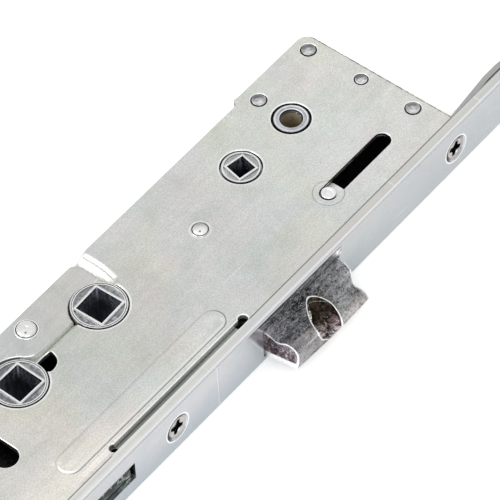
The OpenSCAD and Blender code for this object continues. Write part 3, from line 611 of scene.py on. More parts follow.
def latch_finish_and_painted_light(nt, co, col):
    x, y, z = comp(nt, co, "X"), comp(nt, co, "Y"), comp(nt, co, "Z")
    n = noise_tex(nt, co, 1500, 4, 0.7, x=-1000, y=1800, dist=0.5)
    vein = noise_tex(nt, co, 760, 4, 0.72, stretch=(0.5, 1.0, 1.0), x=-1000, y=2100, dist=1.2)
    # painted light on the nose
    nose = both_of(nt, remap(nt, y, -0.0056, -0.0088, 0, 1), remap(nt, n, 0.44, 0.56, 0.30, 1))
    col = mix(nt, col, (0.325, 0.306, 0.292), maths(nt, "MULTIPLY", nose, 0.8))
    low = both_of(nt, remap(nt, x, 0.0275, 0.0210, 0, 1), remap(nt, n, 0.44, 0.56, 0.15, 1))
    col = mix(nt, col, (0.175, 0.168, 0.198), maths(nt, "MULTIPLY", low, 0.85))
    sn = noise_tex(nt, co, 520, 4, 0.7, stretch=(0.22, 1.0, 1.0), rot=(0, 0, -0.5), x=-1000, y=2700, dist=0.5)
    mid = both_of(nt, near(nt, x, 0.0325, 0.0050, 0.0040), remap(nt, y, -0.0075, -0.0045, 0, 1))
    col = mix(nt, col, (0.48, 0.485, 0.50), mid, "MULTIPLY")
    hi = both_of(nt, remap(nt, x, 0.0370, 0.0450, 0, 1), remap(nt, n, 0.44, 0.58, 0.15, 1))
    col = mix(nt, col, (0.33, 0.335, 0.34), maths(nt, "MULTIPLY", hi, 0.75))
    col = mix(nt, col, remap(nt, sn, 0.38, 0.62, 0.50, 1.65), 1.0, "MULTIPLY")
    warm = both_of(nt, remap(nt, x, 0.0410, 0.0450, 0, 1), remap(nt, y, -0.0070, -0.0086, 0, 1), remap(nt, n, 0.48, 0.56, 0, 0.55))
    col = mix(nt, col, (0.50, 0.38, 0.31), warm)
    v = near(nt, vein, 0.5, 0.008, 0.022)
    col = mix(nt, col, (0.50, 0.50, 0.51), maths(nt, "MULTIPLY", v, 0.6))
    # painted highlights on the arris round the hole, along the front end and along the upper end
    w = maths(nt, "MULTIPLY", maths(nt, "SUBTRACT", y, HC[1] * MM), 1 / (HB * MM))
    dx = maths(nt, "SUBTRACT", maths(nt, "SUBTRACT", x, HC[0] * MM), maths(nt, "MULTIPLY", w, HK * HB * MM))
    u = maths(nt, "DIVIDE", dx, maths(nt, "MULTIPLY", maths(nt, "SUBTRACT", 1.0, maths(nt, "MULTIPLY", w, HE)), HA * MM))
    d = maths(nt, "SQRT", maths(nt, "ADD", maths(nt, "MULTIPLY", u, u), maths(nt, "MULTIPLY", w, w)))
    k = noise_tex(nt, co, 1100, 2, 0.6, x=-1000, y=2400)
    rim = both_of(nt, near(nt, d, 1.034, 0.030, 0.030), remap(nt, k, 0.34, 0.5, 0.45, 0.95))
    col = mix(nt, col, (0.95, 0.95, 0.94), both_of(nt, rim, remap(nt, maths(nt, "ADD", z, maths(nt, "MULTIPLY", remap(nt, x, 0.0340, 0.0350, 0, 1), 0.02)), -0.0012, -0.0005, 0, 1)))
    lip1 = maths(nt, "ADD", maths(nt, "MULTIPLY", maths(nt, "SUBTRACT", x, 0.0301), 0.935), maths(nt, "MULTIPLY", maths(nt, "ADD", z, 0.0002), 0.355))
    lip2 = maths(nt, "ADD", maths(nt, "MULTIPLY", maths(nt, "SUBTRACT", x, 0.0312), 0.653), maths(nt, "MULTIPLY", maths(nt, "ADD", z, 0.0031), 0.758))
    front = remap(nt, y, -0.0080, -0.0086, 0, 1)
    l1 = both_of(nt, near(nt, lip1, -0.0001, 0.00012, 0.00010), remap(nt, z, -0.0004, -0.0006, 0, 1), remap(nt, z, -0.0033, -0.0031, 0, 1), front)
    l2 = both_of(nt, near(nt, lip2, -0.0001, 0.00012, 0.00010), near(nt, x, 0.0321, 0.0010, 0.0002), front)
    col = mix(nt, col, (0.93, 0.92, 0.91), both_of(nt, maths(nt, "MAXIMUM", l1, l2), remap(nt, k, 0.34, 0.5, 0.4, 0.9)))
    back = both_of(nt, near(nt, maths(nt, "ADD", x, 0.0), 0.0495, 0.00036, 0.00016), remap(nt, k, 0.38, 0.50, 0.15, 0.95))
    col = mix(nt, col, (0.80, 0.80, 0.80), back)
    return col


def hole_finish_and_painted_light(nt, co, col):
    z = comp(nt, co, "Z")
    n = noise_tex(nt, co, 620, 4, 0.75, x=-1000, y=1800, dist=1.0)
    g = noise_tex(nt, co, 1150, 2, 0.6, x=-1000, y=2100, dist=0.8)
    y = comp(nt, co, "Y")
    # painted light: the deep part pink and lighter, as lit from below, with painted glints; the ledge lighter, with
    # painted glints
    deep = both_of(nt, remap(nt, z, -0.0030, -0.0046, 0, 1), remap(nt, y, -0.0032, -0.0058, 0, 1))
    col = mix(nt, col, (0.46, 0.34, 0.37), both_of(nt, deep, remap(nt, n, 0.46, 0.55, 0.05, 1)))
    col = mix(nt, col, (0.97, 0.90, 0.93), both_of(nt, deep, remap(nt, g, 0.51, 0.57, 0, 1)))
    shelf = near(nt, z, 0.0010, 0.00015, 0.00012)
    col = mix(nt, col, (0.26, 0.25, 0.21), both_of(nt, shelf, remap(nt, n, 0.42, 0.52, 0.1, 0.9)))
    col = mix(nt, col, (0.90, 0.90, 0.84), both_of(nt, shelf, remap(nt, g, 0.52, 0.58, 0, 1)))
    return col


def pocket_finish_and_painted_glints(nt, co, col):
    n = noise_tex(nt, co, 700, 4, 0.75, x=-1000, y=1800, dist=1.0)
    g = noise_tex(nt, co, 1250, 2, 0.6, x=-1000, y=2100, dist=0.8)
    # pink-lavender mottling with painted white glints
    col = mix(nt, col, (0.50, 0.44, 0.47), remap(nt, n, 0.44, 0.54, 0, 0.95))
    col = mix(nt, col, (0.95, 0.93, 0.96), remap(nt, g, 0.55, 0.62, 0, 0.95))
    return col


def square_finish_and_painted_light(nt, co, col):
    n = noise_tex(nt, co, 330, 3, 0.6, stretch=(1, 1, 0.45), x=-1000, y=1800, dist=1.4)
    z = comp(nt, co, "Z")
    col = mix(nt, col, (0.62, 0.68, 0.78), both_of(nt, near(nt, n, 0.5, 0.006, 0.016), remap(nt, z, -0.004, 0.004, 0.25, 0.75)))
    # painted highlight on the inner corner, and the drawn streaks beside it
    x, y = comp(nt, co, "X"), comp(nt, co, "Y")
    m = noise_tex(nt, co, 1300, 3, 0.6, stretch=(1, 1, 0.14), x=-1000, y=1500)
    for cx, cy in ((4.0, 39.1), (-26.0, 38.98), (57.2, 37.17)):
        dx, dy = maths(nt, "SUBTRACT", x, cx * MM), maths(nt, "SUBTRACT", y, cy * MM)
        d = maths(nt, "SQRT", maths(nt, "ADD", maths(nt, "MULTIPLY", dx, dx), maths(nt, "MULTIPLY", dy, dy)))
        col = mix(nt, col, (0.60, 0.66, 0.76), both_of(nt, remap(nt, d, 0.0042, 0.0003, 0, 0.85), remap(nt, m, 0.48, 0.60, 0, 1), remap(nt, z, 0.0, 0.006, 0.3, 1)))
        col = mix(nt, col, (0.85, 0.90, 0.98), both_of(nt, remap(nt, d, 0.00042, 0.00022, 0, 1), remap(nt, z, 0.0022, 0.0058, 0.05, 1)))
    # painted shade: darker deeper in the square hole
    return mix(nt, col, (0.30, 0.30, 0.32), remap(nt, z, 0.0052, 0.0022, 0, 0.9), "MULTIPLY")


def shaded_wall_highlights(nt, co, col):
    x, y, z = comp(nt, co, "X"), comp(nt, co, "Y"), comp(nt, co, "Z")
    g = noise_tex(nt, co, 520, 2, 0.6, x=-1000, y=1800)
    # painted highlight along the lower edge of the drive slot's wall
    slot = both_of(nt, near(nt, z, 0.0071, 0.00012, 0.00010), remap(nt, x, 0.0630, 0.0640, 0, 1), remap(nt, x, 0.0862, 0.0855, 0, 1), remap(nt, y, 0.0128, 0.0136, 0, 1), remap(nt, y, 0.0152, 0.0149, 0, 1))
    col = mix(nt, col, (0.92, 0.93, 0.88), both_of(nt, slot, remap(nt, g, 0.44, 0.50, 0.1, 0.9)))
    # painted light bars in the cam window, where a lit part inside shows
    cam_ = both_of(nt, near(nt, y, 0.0362, 0.0005, 0.0002), near(nt, x, -0.0203, 0.0021, 0.0003))
    col = mix(nt, col, (0.92, 0.92, 0.90), both_of(nt, cam_, near(nt, z, 0.0061, 0.00022, 0.00010)))
    return mix(nt, col, (0.42, 0.42, 0.41), both_of(nt, cam_, near(nt, z, 0.0053, 0.00020, 0.00010)))


def rivet_painted_shading(nt, co, col):
    """Light head with a painted highlight arc on the lower-left and a painted shade arc, broken into a few dark blots,
    opposite.
    """
    x, y = comp(nt, co, "X"), comp(nt, co, "Y")
    n = noise_tex(nt, co, 1500, 3, 0.65, x=-1000, y=1800, dist=0.8)
    for cx, cy in RV_ALL:
        dx, dy = maths(nt, "SUBTRACT", x, cx * MM), maths(nt, "SUBTRACT", y, cy * MM)
        d = maths(nt, "SQRT", maths(nt, "ADD", maths(nt, "MULTIPLY", dx, dx), maths(nt, "MULTIPLY", dy, dy)))
        s_ = maths(nt, "ADD", maths(nt, "MULTIPLY", maths(nt, "ADD", dx, dy), 600.0), maths(nt, "MULTIPLY", maths(nt, "SUBTRACT", n, 0.5), 1.5))
        col = mix(nt, col, (0.92, 0.92, 0.91), both_of(nt, near(nt, d, 0.0010, 0.00045, 0.0003), remap(nt, s_, -0.15, -0.75, 0, 0.60)))
        col = mix(nt, col, (0.14, 0.14, 0.145), both_of(nt, near(nt, d, 0.00125, 0.00030, 0.00025), remap(nt, s_, 0.15, 0.65, 0, 0.8)))
    return col


def bolt_painted_light(nt, co, col):
    x, z = comp(nt, co, "X"), comp(nt, co, "Z")
    g = noise_tex(nt, co, 1000, 2, 0.6, x=-1000, y=1800, dist=0.8)
    # painted glints on the lower part of the end; painted light on the lower front
    end = both_of(nt, remap(nt, x, -0.0345, -0.0325, 0, 1), remap(nt, z, -0.0004, -0.0010, 0.12, 1), remap(nt, g, 0.52, 0.60, 0, 0.9))
    col = mix(nt, col, (0.75, 0.78, 0.72), end)
    pale = both_of(nt, remap(nt, z, -0.0005, -0.0019, 0, 0.85), remap(nt, comp(nt, co, "Y"), 0.0016, 0.0013, 0, 1), remap(nt, g, 0.40, 0.52, 0.45, 1))
    col = mix(nt, col, (0.26, 0.29, 0.29), pale)
    # painted highlight line near the end; painted shadow along the top of the front; painted shade on the body deep
    # inside the case
    col = mix(nt, col, (0.95, 0.96, 0.93), both_of(nt, near(nt, x, -0.0303, 0.0006, 0.0004), remap(nt, z, -0.0018, -0.0022, 0, 1), remap(nt, g, 0.40, 0.50, 0.3, 1)))
    col = mix(nt, col, (0.005, 0.006, 0.006), both_of(nt, remap(nt, z, 0.0017, 0.0022, 0, 0.95), remap(nt, comp(nt, co, "Y"), 0.0016, 0.0013, 0, 1)))
    return mix(nt, col, (0.004, 0.004, 0.004), remap(nt, comp(nt, co, "Y"), 0.0195, 0.0215, 0, 0.92))


def screw_painted_shading(nt, co, col):
    x, z = comp(nt, co, "X"), comp(nt, co, "Z")
    for xs in SCREW_X:
        dx = maths(nt, "SUBTRACT", x, xs * MM)
        d = maths(nt, "SQRT", maths(nt, "ADD", maths(nt, "MULTIPLY", dx, dx), maths(nt, "MULTIPLY", z, z)))
        # painted shade: a dark crescent on the upper-left edge of each head
        arc_ = both_of(nt, remap(nt, d, 0.0027, 0.0030, 0, 1), remap(nt, d, 0.0060, 0.0055, 0, 1), remap(nt, maths(nt, "SUBTRACT", z, dx), -0.0016, 0.0012, 0, 0.97))
        col = mix(nt, col, (0.012, 0.012, 0.012), arc_)
        # painted glint below the cross
        gx, gz = maths(nt, "SUBTRACT", dx, 0.0006), maths(nt, "ADD", z, 0.0017)
        gd = maths(nt, "SQRT", maths(nt, "ADD", maths(nt, "MULTIPLY", gx, gx), maths(nt, "MULTIPLY", gz, gz)))
        col = mix(nt, col, (0.95, 0.95, 0.95), remap(nt, gd, 0.00052, 0.00030, 0, 0.85))
    return col


def dome_painted_shading(nt, co, col):
    """Painted shading: the small dome grey above and lit below, the large one light with a painted highlight ring, each
    with a small dark painted reflection.
    """
    x, y = comp(nt, co, "X"), comp(nt, co, "Y")
    n = noise_tex(nt, co, 1100, 3, 0.6, x=-1000, y=1800, dist=0.6)
    for cx, cy, r in ((33.2, 30.3, 2.4), (-16.1, 44.6, 3.1)):
        dx, dy = maths(nt, "SUBTRACT", x, cx * MM), maths(nt, "SUBTRACT", y, cy * MM)
        d = maths(nt, "SQRT", maths(nt, "ADD", maths(nt, "MULTIPLY", dx, dx), maths(nt, "MULTIPLY", dy, dy)))
        on = remap(nt, d, r * MM * 0.86, r * MM * 0.82, 0, 1)
        s_ = maths(nt, "ADD", maths(nt, "MULTIPLY", maths(nt, "ADD", dx, dy), 1 / (r * MM)), maths(nt, "SUBTRACT", n, 0.5))
        if r < 3:
            col = mix(nt, col, (0.36, 0.365, 0.37), both_of(nt, on, remap(nt, s_, 0.05, 0.75, 0, 0.75)))
            col = mix(nt, col, (0.95, 0.95, 0.94), both_of(nt, on, remap(nt, s_, 0.0, -0.5, 0, 0.9)))
            px, py = maths(nt, "ADD", dx, 0.0009), maths(nt, "ADD", dy, 0.0007)
        else:
            col = mix(nt, col, (0.90, 0.90, 0.89), both_of(nt, on, remap(nt, n, 0.40, 0.55, 0.2, 0.7)))
            col = mix(nt, col, (0.95, 0.95, 0.94), both_of(nt, remap(nt, d, r * MM * 0.885, r * MM * 0.90, 0, 1), remap(nt, d, r * MM * 1.1, r * MM * 1.05, 0, 0.85)))
            px, py = maths(nt, "ADD", dx, 0.0013), maths(nt, "ADD", dy, 0.0009)
        pd = maths(nt, "SQRT", maths(nt, "ADD", maths(nt, "MULTIPLY", px, px), maths(nt, "MULTIPLY", py, py)))
        col = mix(nt, col, (0.08, 0.08, 0.08), remap(nt, pd, 0.00034, 0.00018, 0, 0.85))
    return col


def follower_face_shading(centre, angle, sq, half, r_in, groove, amt=1.0):
    """Painted highlights on the chamfers round the square and on the turned rings, painted shade on the segments and
    outside the groove, of a follower's end face.
    """
    ca, sa = math.cos(math.radians(angle)), math.sin(math.radians(angle))

    def after(nt, co, col):
        x, y, z = comp(nt, co, "X"), comp(nt, co, "Y"), comp(nt, co, "Z")
        x, y = maths(nt, "SUBTRACT", x, centre[0] * MM), maths(nt, "SUBTRACT", y, centre[1] * MM)
        u = maths(nt, "ADD", maths(nt, "MULTIPLY", x, ca), maths(nt, "MULTIPLY", y, sa))
        w = maths(nt, "SUBTRACT", maths(nt, "MULTIPLY", y, ca), maths(nt, "MULTIPLY", x, sa))
        m = maths(nt, "MAXIMUM", maths(nt, "ABSOLUTE", u), maths(nt, "ABSOLUTE", w))
        d = maths(nt, "SQRT", maths(nt, "ADD", maths(nt, "MULTIPLY", x, x), maths(nt, "MULTIPLY", y, y)))
        n = noise_tex(nt, co, 900, 3, 0.6, x=-1000, y=1800, dist=0.6)
        up = facing(nt, "Z", 0.5, 0.8)
        seg = both_of(nt, remap(nt, m, (half - 0.05) * MM, (half + 0.15) * MM, 0, 1), remap(nt, d, r_in * MM, (r_in - 0.5) * MM, 0.15, 1), remap(nt, n, 0.38, 0.55, 0.35, 0.9), remap(nt, d, (r_in + 0.02) * MM, (r_in - 0.02) * MM, 0, 1))
        col = mix(nt, col, (0.15, 0.165, 0.185), both_of(nt, seg, maths(nt, "MULTIPLY", up, amt)))
        col = mix(nt, col, (0.95, 0.95, 0.94), both_of(nt, near(nt, m, (sq + 0.20) * MM, 0.00014, 0.00010), up, remap(nt, n, 0.34, 0.48, 0.55, 0.95)))
        col = mix(nt, col, (0.95, 0.95, 0.94), both_of(nt, near(nt, d, (r_in + 0.5 * (groove - r_in) - 0.03) * MM, 0.00010, 0.00008), up, remap(nt, n, 0.34, 0.5, 0.4, 0.9)))
        col = mix(nt, col, (0.20, 0.21, 0.22), both_of(nt, remap(nt, d, (groove + 0.32) * MM, (groove + 0.40) * MM, 0, 0.7), up))
        col = mix(nt, col, (0.95, 0.95, 0.94), both_of(nt, near(nt, d, (groove + 0.21) * MM, 0.00006, 0.00006), up, remap(nt, n, 0.34, 0.5, 0.3, 0.8)))
        return col
    return after


ZINC = metal("zinc_sheet", (0.650, 0.662, 0.648), (0.715, 0.712, 0.700), rough=(0.34, 0.46), grain=(0.06, 1, 1), grain_amt=0.03, mottle=0.8, specks=0.22, crevice=0.35,
             fine_tex=(2900, 0.17), speck_tex=(1500, 0.69, 0.75), ao_range=(0.05, 0.55), scratch=0.3, after=zinc_finish_and_painted_light)
RAIL = metal("rail_zinc", (0.42, 0.43, 0.42), (0.50, 0.505, 0.49), rough=(0.34, 0.46), grain=(0.05, 1, 1), grain_amt=0.05, mottle=0.8, specks=0.2, crevice=0.35, edge=0.0,
             fine_tex=(2900, 0.10), speck_tex=(1500, 0.70, 0.76), ao_range=(0.05, 0.55), scratch=0.3)
STRAP = metal("strap_zinc", (0.565, 0.585, 0.58), (0.62, 0.625, 0.615), rough=(0.34, 0.44), grain=(0.06, 1, 1), grain_amt=0.045, mottle=0.8, specks=0.22, crevice=0.35,
              fine_tex=(2900, 0.12), speck_tex=(1500, 0.70, 0.76), ao_range=(0.05, 0.55), scratch=0.3, after=strap_finish_and_painted_light)
PLATE = metal("faceplate_zinc", (0.64, 0.66, 0.685), (0.68, 0.695, 0.71), rough=(0.18, 0.28), grain=(0.04, 1, 1), grain_amt=0.02, mottle=0.45, specks=0.15, crevice=0.4, bump=0.05,
              fine_tex=(3600, 0.03), speck_tex=(1500, 0.72, 0.77), ao_range=(0.05, 0.55), edge=0.0, after=plate_finish_and_painted_light)
MACH = metal("machined_steel", (0.52, 0.525, 0.53), (0.66, 0.66, 0.66), rough=(0.26, 0.40), grain=(1, 1, 1), grain_amt=0.10, mottle=1.1, crevice=0.85, ao_dist=0.006)
FACES = [metal("follower_steel_%d" % k, (0.46, 0.465, 0.47), (0.72, 0.72, 0.72), rough=(0.24, 0.40), grain=(1, 1, 1), grain_amt=0.14, mottle=1.9, crevice=0.7, ao_dist=0.006,
               fine_tex=(2600, 0.10), speck_tex=(1300, 0.66, 0.74), edge=0.15, after=follower_face_shading(*q))
         for k, q in enumerate((((0, 35), 2, 4.05, 4.75, 6.4, 6.78), ((-30, 35), -1, 4.05, 4.75, 6.4, 6.78), ((55, 35), -11, 2.6, 3.22, 4.45, 5.0, 0.45)))]
SQUARE = metal("broached_square", (0.035, 0.04, 0.05), (0.24, 0.27, 0.32), rough=(0.30, 0.46), mottle=1.6, grain=(1, 1, 0.05), grain_amt=0.5, specks=0.12, crevice=0.5,
               fine_tex=(2200, 0.2), speck_tex=(1400, 0.66, 0.76), scratch=0.2, edge=0.0, after=square_finish_and_painted_light)
# bright arris material: wear, and painted highlight on rims and chamfers
WORN_EDGE_HIGHLIGHT = metal("worn_edge_highlight", (0.90, 0.90, 0.89), (0.96, 0.96, 0.95), rough=(0.22, 0.34), mottle=0.6, specks=0.0, crevice=0.0, scratch=0.0, fine_tex=(2600, 0.04), metallic=0.75)
DRIVE = metal("drive_steel", (0.62, 0.67, 0.63), (0.74, 0.78, 0.74), rough=(0.34, 0.48), grain=(0.05, 1, 1), grain_amt=0.08, metallic=0.55, crevice=0.15, specks=0.1,
              speck_tex=(1500, 0.70, 0.76), ao_range=(0.02, 0.4), after=drive_finish_and_painted_light)
RIVET = metal("rivet_steel", (0.34, 0.34, 0.35), (0.66, 0.66, 0.665), rough=(0.26, 0.42), mottle=2.0, grain_amt=0.12, crevice=0.7, fine_tex=(2600, 0.10), speck_tex=(1300, 0.66, 0.74), scales=(300, 1200), after=rivet_painted_shading)
DOME = metal("dome_steel", (0.72, 0.72, 0.71), (0.84, 0.83, 0.82), rough=(0.20, 0.32), mottle=1.0, grain_amt=0.05, crevice=0.75, fine_tex=(2600, 0.05), speck_tex=(1500, 0.68, 0.76), ao_dist=0.002, after=dome_painted_shading)
PIN = metal("pin_steel", (0.86, 0.86, 0.86), (0.94, 0.94, 0.94), rough=(0.20, 0.32), mottle=1.0, grain_amt=0.05, crevice=0.4)
CAST = metal("cast_zinc", (0.50, 0.505, 0.51), (0.60, 0.60, 0.61), rough=(0.34, 0.5), mottle=1.1)
LATCH = metal("cast_latch", (0.012, 0.013, 0.015), (0.165, 0.168, 0.175), rough=(0.24, 0.46), mottle=2.6, grain=(0.35, 1, 1), grain_amt=0.5, specks=0.4, crevice=0.4, bump=0.8, bump_scale=1700,
              fine_tex=(2400, 0.4), speck_tex=(1700, 0.66, 0.74), scratch=0.0, scales=(420, 1250), after=latch_finish_and_painted_light)
HOLE = metal("latch_hole", (0.010, 0.009, 0.006), (0.125, 0.100, 0.065), rough=(0.25, 0.45), mottle=2.6, grain_amt=0.4, specks=0.3, crevice=0.3, bump=0.5, bump_scale=1500,
             fine_tex=(2000, 0.35), speck_tex=(1500, 0.66, 0.74), scratch=0.0, edge=0.0, scales=(420, 1100), after=hole_finish_and_painted_light)
POCKET = metal("latch_pocket", (0.05, 0.042, 0.042), (0.28, 0.235, 0.25), rough=(0.25, 0.45), mottle=2.6, grain_amt=0.4, specks=0.3, crevice=0.3, bump=0.5, bump_scale=1500,
               fine_tex=(2000, 0.35), speck_tex=(1500, 0.66, 0.74), scratch=0.0, edge=0.0, scales=(420, 1100), after=pocket_finish_and_painted_glints)
# very dark: steel darkened for the shade inside the slot (painted shade)
BOLT = metal("bolt_steel", (0.005, 0.007, 0.007), (0.045, 0.056, 0.053), rough=(0.26, 0.42), mottle=2.2, crevice=0.4, scales=(300, 1100), specks=0.5, fine_tex=(2200, 0.3), speck_tex=(1300, 0.64, 0.72), metallic=0.8, edge=0.0, scratch=0.15, after=bolt_painted_light)
BUSH = metal("bush_metal", (0.36, 0.385, 0.43), (0.62, 0.63, 0.65), rough=(0.24, 0.36), mottle=1.4, crevice=0.75, ao_dist=0.002, fine_tex=(2600, 0.08), speck_tex=(1500, 0.68, 0.76))
BORE = metal("bush_bore", (0.21, 0.165, 0.10), (0.42, 0.345, 0.22), rough=(0.40, 0.60), mottle=1.8, metallic=0.15, crevice=0.0, specks=0.1, fine_tex=(2200, 0.15), speck_tex=(1500, 0.68, 0.76), edge=0.0)
# dark material for hole walls, grooves and gaps: painted shade
SHADED_WALL = metal("painted_shade_wall", (0.035, 0.037, 0.036), (0.10, 0.105, 0.10), rough=(0.35, 0.5), mottle=1.6, specks=0.3, crevice=0.3, fine_tex=(2200, 0.3), speck_tex=(1400, 0.66, 0.74), edge=0.0, after=shaded_wall_highlights)
# light, barely metallic: painted light on the strap's edge wall
LIT_STRAP_WALL = metal("strap_wall_painted_light", (0.62, 0.65, 0.63), (0.74, 0.76, 0.74), rough=(0.38, 0.5), mottle=1.0, metallic=0.2, specks=0.1, crevice=0.0, fine_tex=(2600, 0.08), speck_tex=(1500, 0.68, 0.76), edge=0.0)
SPRING = metal("spring_steel", (0.30, 0.30, 0.31), (0.46, 0.46, 0.47), rough=(0.22, 0.34), mottle=0.8)
SCREW = metal("screw_steel", (0.33, 0.315, 0.305), (0.56, 0.54, 0.53), rough=(0.26, 0.40), mottle=1.8, crevice=0.8, ao_dist=0.0016, fine_tex=(2600, 0.12), speck_tex=(1500, 0.68, 0.76), edge=0.0, after=screw_painted_shading)
# near black: painted shade in the cross recesses
RECESS = metal("screw_recess", (0.012, 0.011, 0.011), (0.05, 0.047, 0.045), rough=(0.24, 0.40), mottle=2.0, specks=0.6, crevice=0.4, fine_tex=(2000, 0.3), speck_tex=(1500, 0.64, 0.72), edge=0.0)
FOR_NODE = {
    "faceplate": PLATE, "case_base": ZINC, "case_cover": ZINC, "cover_strap": STRAP, "case_rivets": RIVET, "dome_rivets": DOME,
    "bolt_bush": BUSH, "faceplate_screws": SCREW, "idler_pin": MACH, "top_box_base": ZINC, "top_box_cover": ZINC,
    "bottom_box_base": ZINC, "bottom_box_cover": ZINC, "box_rivets": RIVET, "hook_pivots": RIVET, "hook_spacers": MACH,
    "latch_spring": SPRING, "link_spring": SPRING, "snib_detent": SPRING, "drive_slide": DRIVE, "slide_pin": PIN,
    "rail_top": RAIL, "rail_bottom": RAIL, "rail_rivets": RIVET, "hook_drive_pins": MACH, "upper_follower": FACES[0],
    "idler_pinion": MACH, "lower_follower": FACES[1], "latch_link": DRIVE, "latch_lever": DRIVE, "latch_bolt": LATCH,
    "deadbolt": BOLT, "deadbolt_pin": MACH, "snib_hub": FACES[2], "top_hook": MACH, "bottom_hook": MACH}


def soften(names, width, segs=2, angle=30):
    for n in names:
        ob = NODES[n]
        w = ob.modifiers.new("weld", "WELD")
        w.merge_threshold = 2e-6
        d = ob.modifiers.new("flat", "DECIMATE")
        d.decimate_type = "DISSOLVE"
        d.angle_limit = math.radians(0.6)
        b = ob.modifiers.new("bevel", "BEVEL")
        b.width = width * MM
        b.segments = segs
        b.limit_method = "ANGLE"
        b.angle_limit = math.radians(angle)
        b.use_clamp_overlap = True
        b.harden_normals = True
        b.miter_outer = "MITER_ARC"


# ------------------------------------------------------------------ pressed sheets
def clampsoft(t, e=0.16):
    if t <= -e:
        return 0.0
    if t < e:
        return (t + e) ** 2 / (4 * e)
    if t <= 1 - e:
        return t
    if t < 1 + e:
        return 1 - (1 + e - t) ** 2 / (4 * e)
    return 1.0


def seg_dist(x, y, a, b):
    dx, dy = b[0] - a[0], b[1] - a[1]
    t = max(0.0, min(1.0, ((x - a[0]) * dx + (y - a[1]) * dy) / (dx * dx + dy * dy)))
    return math.hypot(x - a[0] - t * dx, y - a[1] - t * dy)


def wave(x, y):
    return 0.010 * math.sin(x / 9.0 + 0.7) * math.sin(y / 7.5 + 0.3) + 0.006 * math.sin(x / 3.9 + y / 5.1)


def x_bend(y):
    """Where the upper end of the recess starts: a bowed line."""
    return 9.5 + 1.2 * max(0.0, 1 - ((y - 45.0) / 8.5) ** 2)


def bend(t):
    """Rounded upper bend, a narrow flat, then the ramp."""
    if t < 0.36:
        return 0.34 * clampsoft(t / 0.36, 0.25)
    if t < 0.46:
        return 0.34
    return 0.34 + 0.66 * clampsoft((t - 0.46) / 0.54, 0.12)


def cover_z(x, y):
    z = 8.0 + wave(x, y)
    d = seg_dist(x, y, *RIB)
    z += 0.34 * clampsoft((3.2 - d) / 0.42, 0.3)
    u, w = bend((x_bend(y) - x) / 3.0), min(bend((x + 74.9) / 2.7), 1.0)
    q = clampsoft((y - 35.2) / 2.0)
    u = max(0.0, min(u, w))
    k = 1.15
    f = min(u, q) if u >= k or q >= k else max(0.0, k - math.hypot(k - u, k - q)) / (k - 0.15 * 1.0)
    f = min(f, u, q, 1.0)
    z -= 2.4 * f
    r = math.hypot(x - 61.6, y - 12.38)
    z -= 0.13 * max(0.0, 1 - abs(r - 4.0) / 0.24)
    return z


def smooth_loop(pts, n=2):
    for _ in range(n):
        out = []
        for i, p in enumerate(pts):
            q = pts[(i + 1) % len(pts)]
            out += [(0.75 * p[0] + 0.25 * q[0], 0.75 * p[1] + 0.25 * q[1]), (0.25 * p[0] + 0.75 * q[0], 0.25 * p[1] + 0.75 * q[1])]
        pts = out
    return pts


def chaikin_open(pts, n=2):
    for _ in range(n):
        out = [pts[0]]
        for p, q in zip(pts, pts[1:]):
            out += [(0.75 * p[0] + 0.25 * q[0], 0.75 * p[1] + 0.25 * q[1]), (0.25 * p[0] + 0.75 * q[0], 0.25 * p[1] + 0.75 * q[1])]
        pts = out + [pts[-1]]
    return pts


case_edge = [(-128, 3)] + arc((-31.0, 4.15), 1.2, -106.6, -322.0, 24) + [(-29.9, 4.9), (16.5, 4.9)] + arc((17.9, 4.25), 1.3, 150.0, -74.1, 26) \
    + [(100, 3)] + arc((96.5, 47.1), 3.5, 0, 90, 10) + [(71, 50.6), (69.6, 49)] + arc((-125, 46), 3, 90, 180, 10)
case_edge = resample(case_edge, 1.5)
lower_loop = arc((-30, 35), 7.5, 9.98, 335.3, 84) + chaikin_open([(-23.186, 31.865), (-22.4, 31), (-20.2, 31.3), (-18.7, 32.3), (-17.9, 34.6), (-17.9, 36.3), (-22.614, 36.3)], 2)[1:-1]
euro_loop = arc((-92, 35), 8.6, -143.6, 143.6, 60) + arc((-111.4, 35), 5.1, 90, 270, 24)
RV = [(95.5, 45.8), (95.8, 29), (96, 12.6), (74.8, 45.3), (-123.6, 44.6), (-123.6, 29), (-123.6, 13)]
cover_holes = [circle((0, 35), 7.5, 96), lower_loop, circle((55, 35), 5.45, 72), circle((75, 35), 5.12, 72),
               resample(capsule((61.55, 12.38), (83.1, 12.38), 2.3, 18), 1.2), resample(capsule((-48.6, 23.1), (-48.6, 40.2), 3.25, 22), 1.0),
               resample(euro_loop, 1.2)] + [circle(p, 1.86 if i == 1 else 2.12, 40) for i, p in enumerate(RV)]
ext = []
for gx in np.arange(-126, 99, 3.0):
    for gy in np.arange(5, 50, 3.0):
        if not (-77 < gx < 12.5 and gy > 34) and seg_dist(gx, gy, *RIB) > 5:
            ext.append((gx + 0.13 * (gy % 2), gy))
for d in (0.001, 1.4, 2.3, 2.6, 2.72, 2.84, 2.95, 3.06, 3.17, 3.28, 3.4, 3.7, 4.4):
    ext += resample(capsule(RIB[0], RIB[1], d, 16), 1.6)[:: (1 if d > 0.1 else 3)]
for gy in (34.3, 34.75, 35.0, 35.25, 35.5, 35.8, 36.1, 36.4, 36.7, 36.95, 37.2, 37.45, 37.8, 38.4):
    ext += [(gx, gy) for gx in np.arange(-76.4, 11.3, 0.9)]
for gx in (-72.0, -72.4, -72.8, -73.1, -73.4, -73.7, -74.0, -74.3, -74.6, -75.0, -75.4, -75.9, -71.4):
    ext += [(gx, gy) for gy in np.arange(38.9, 49.4, 0.7)]
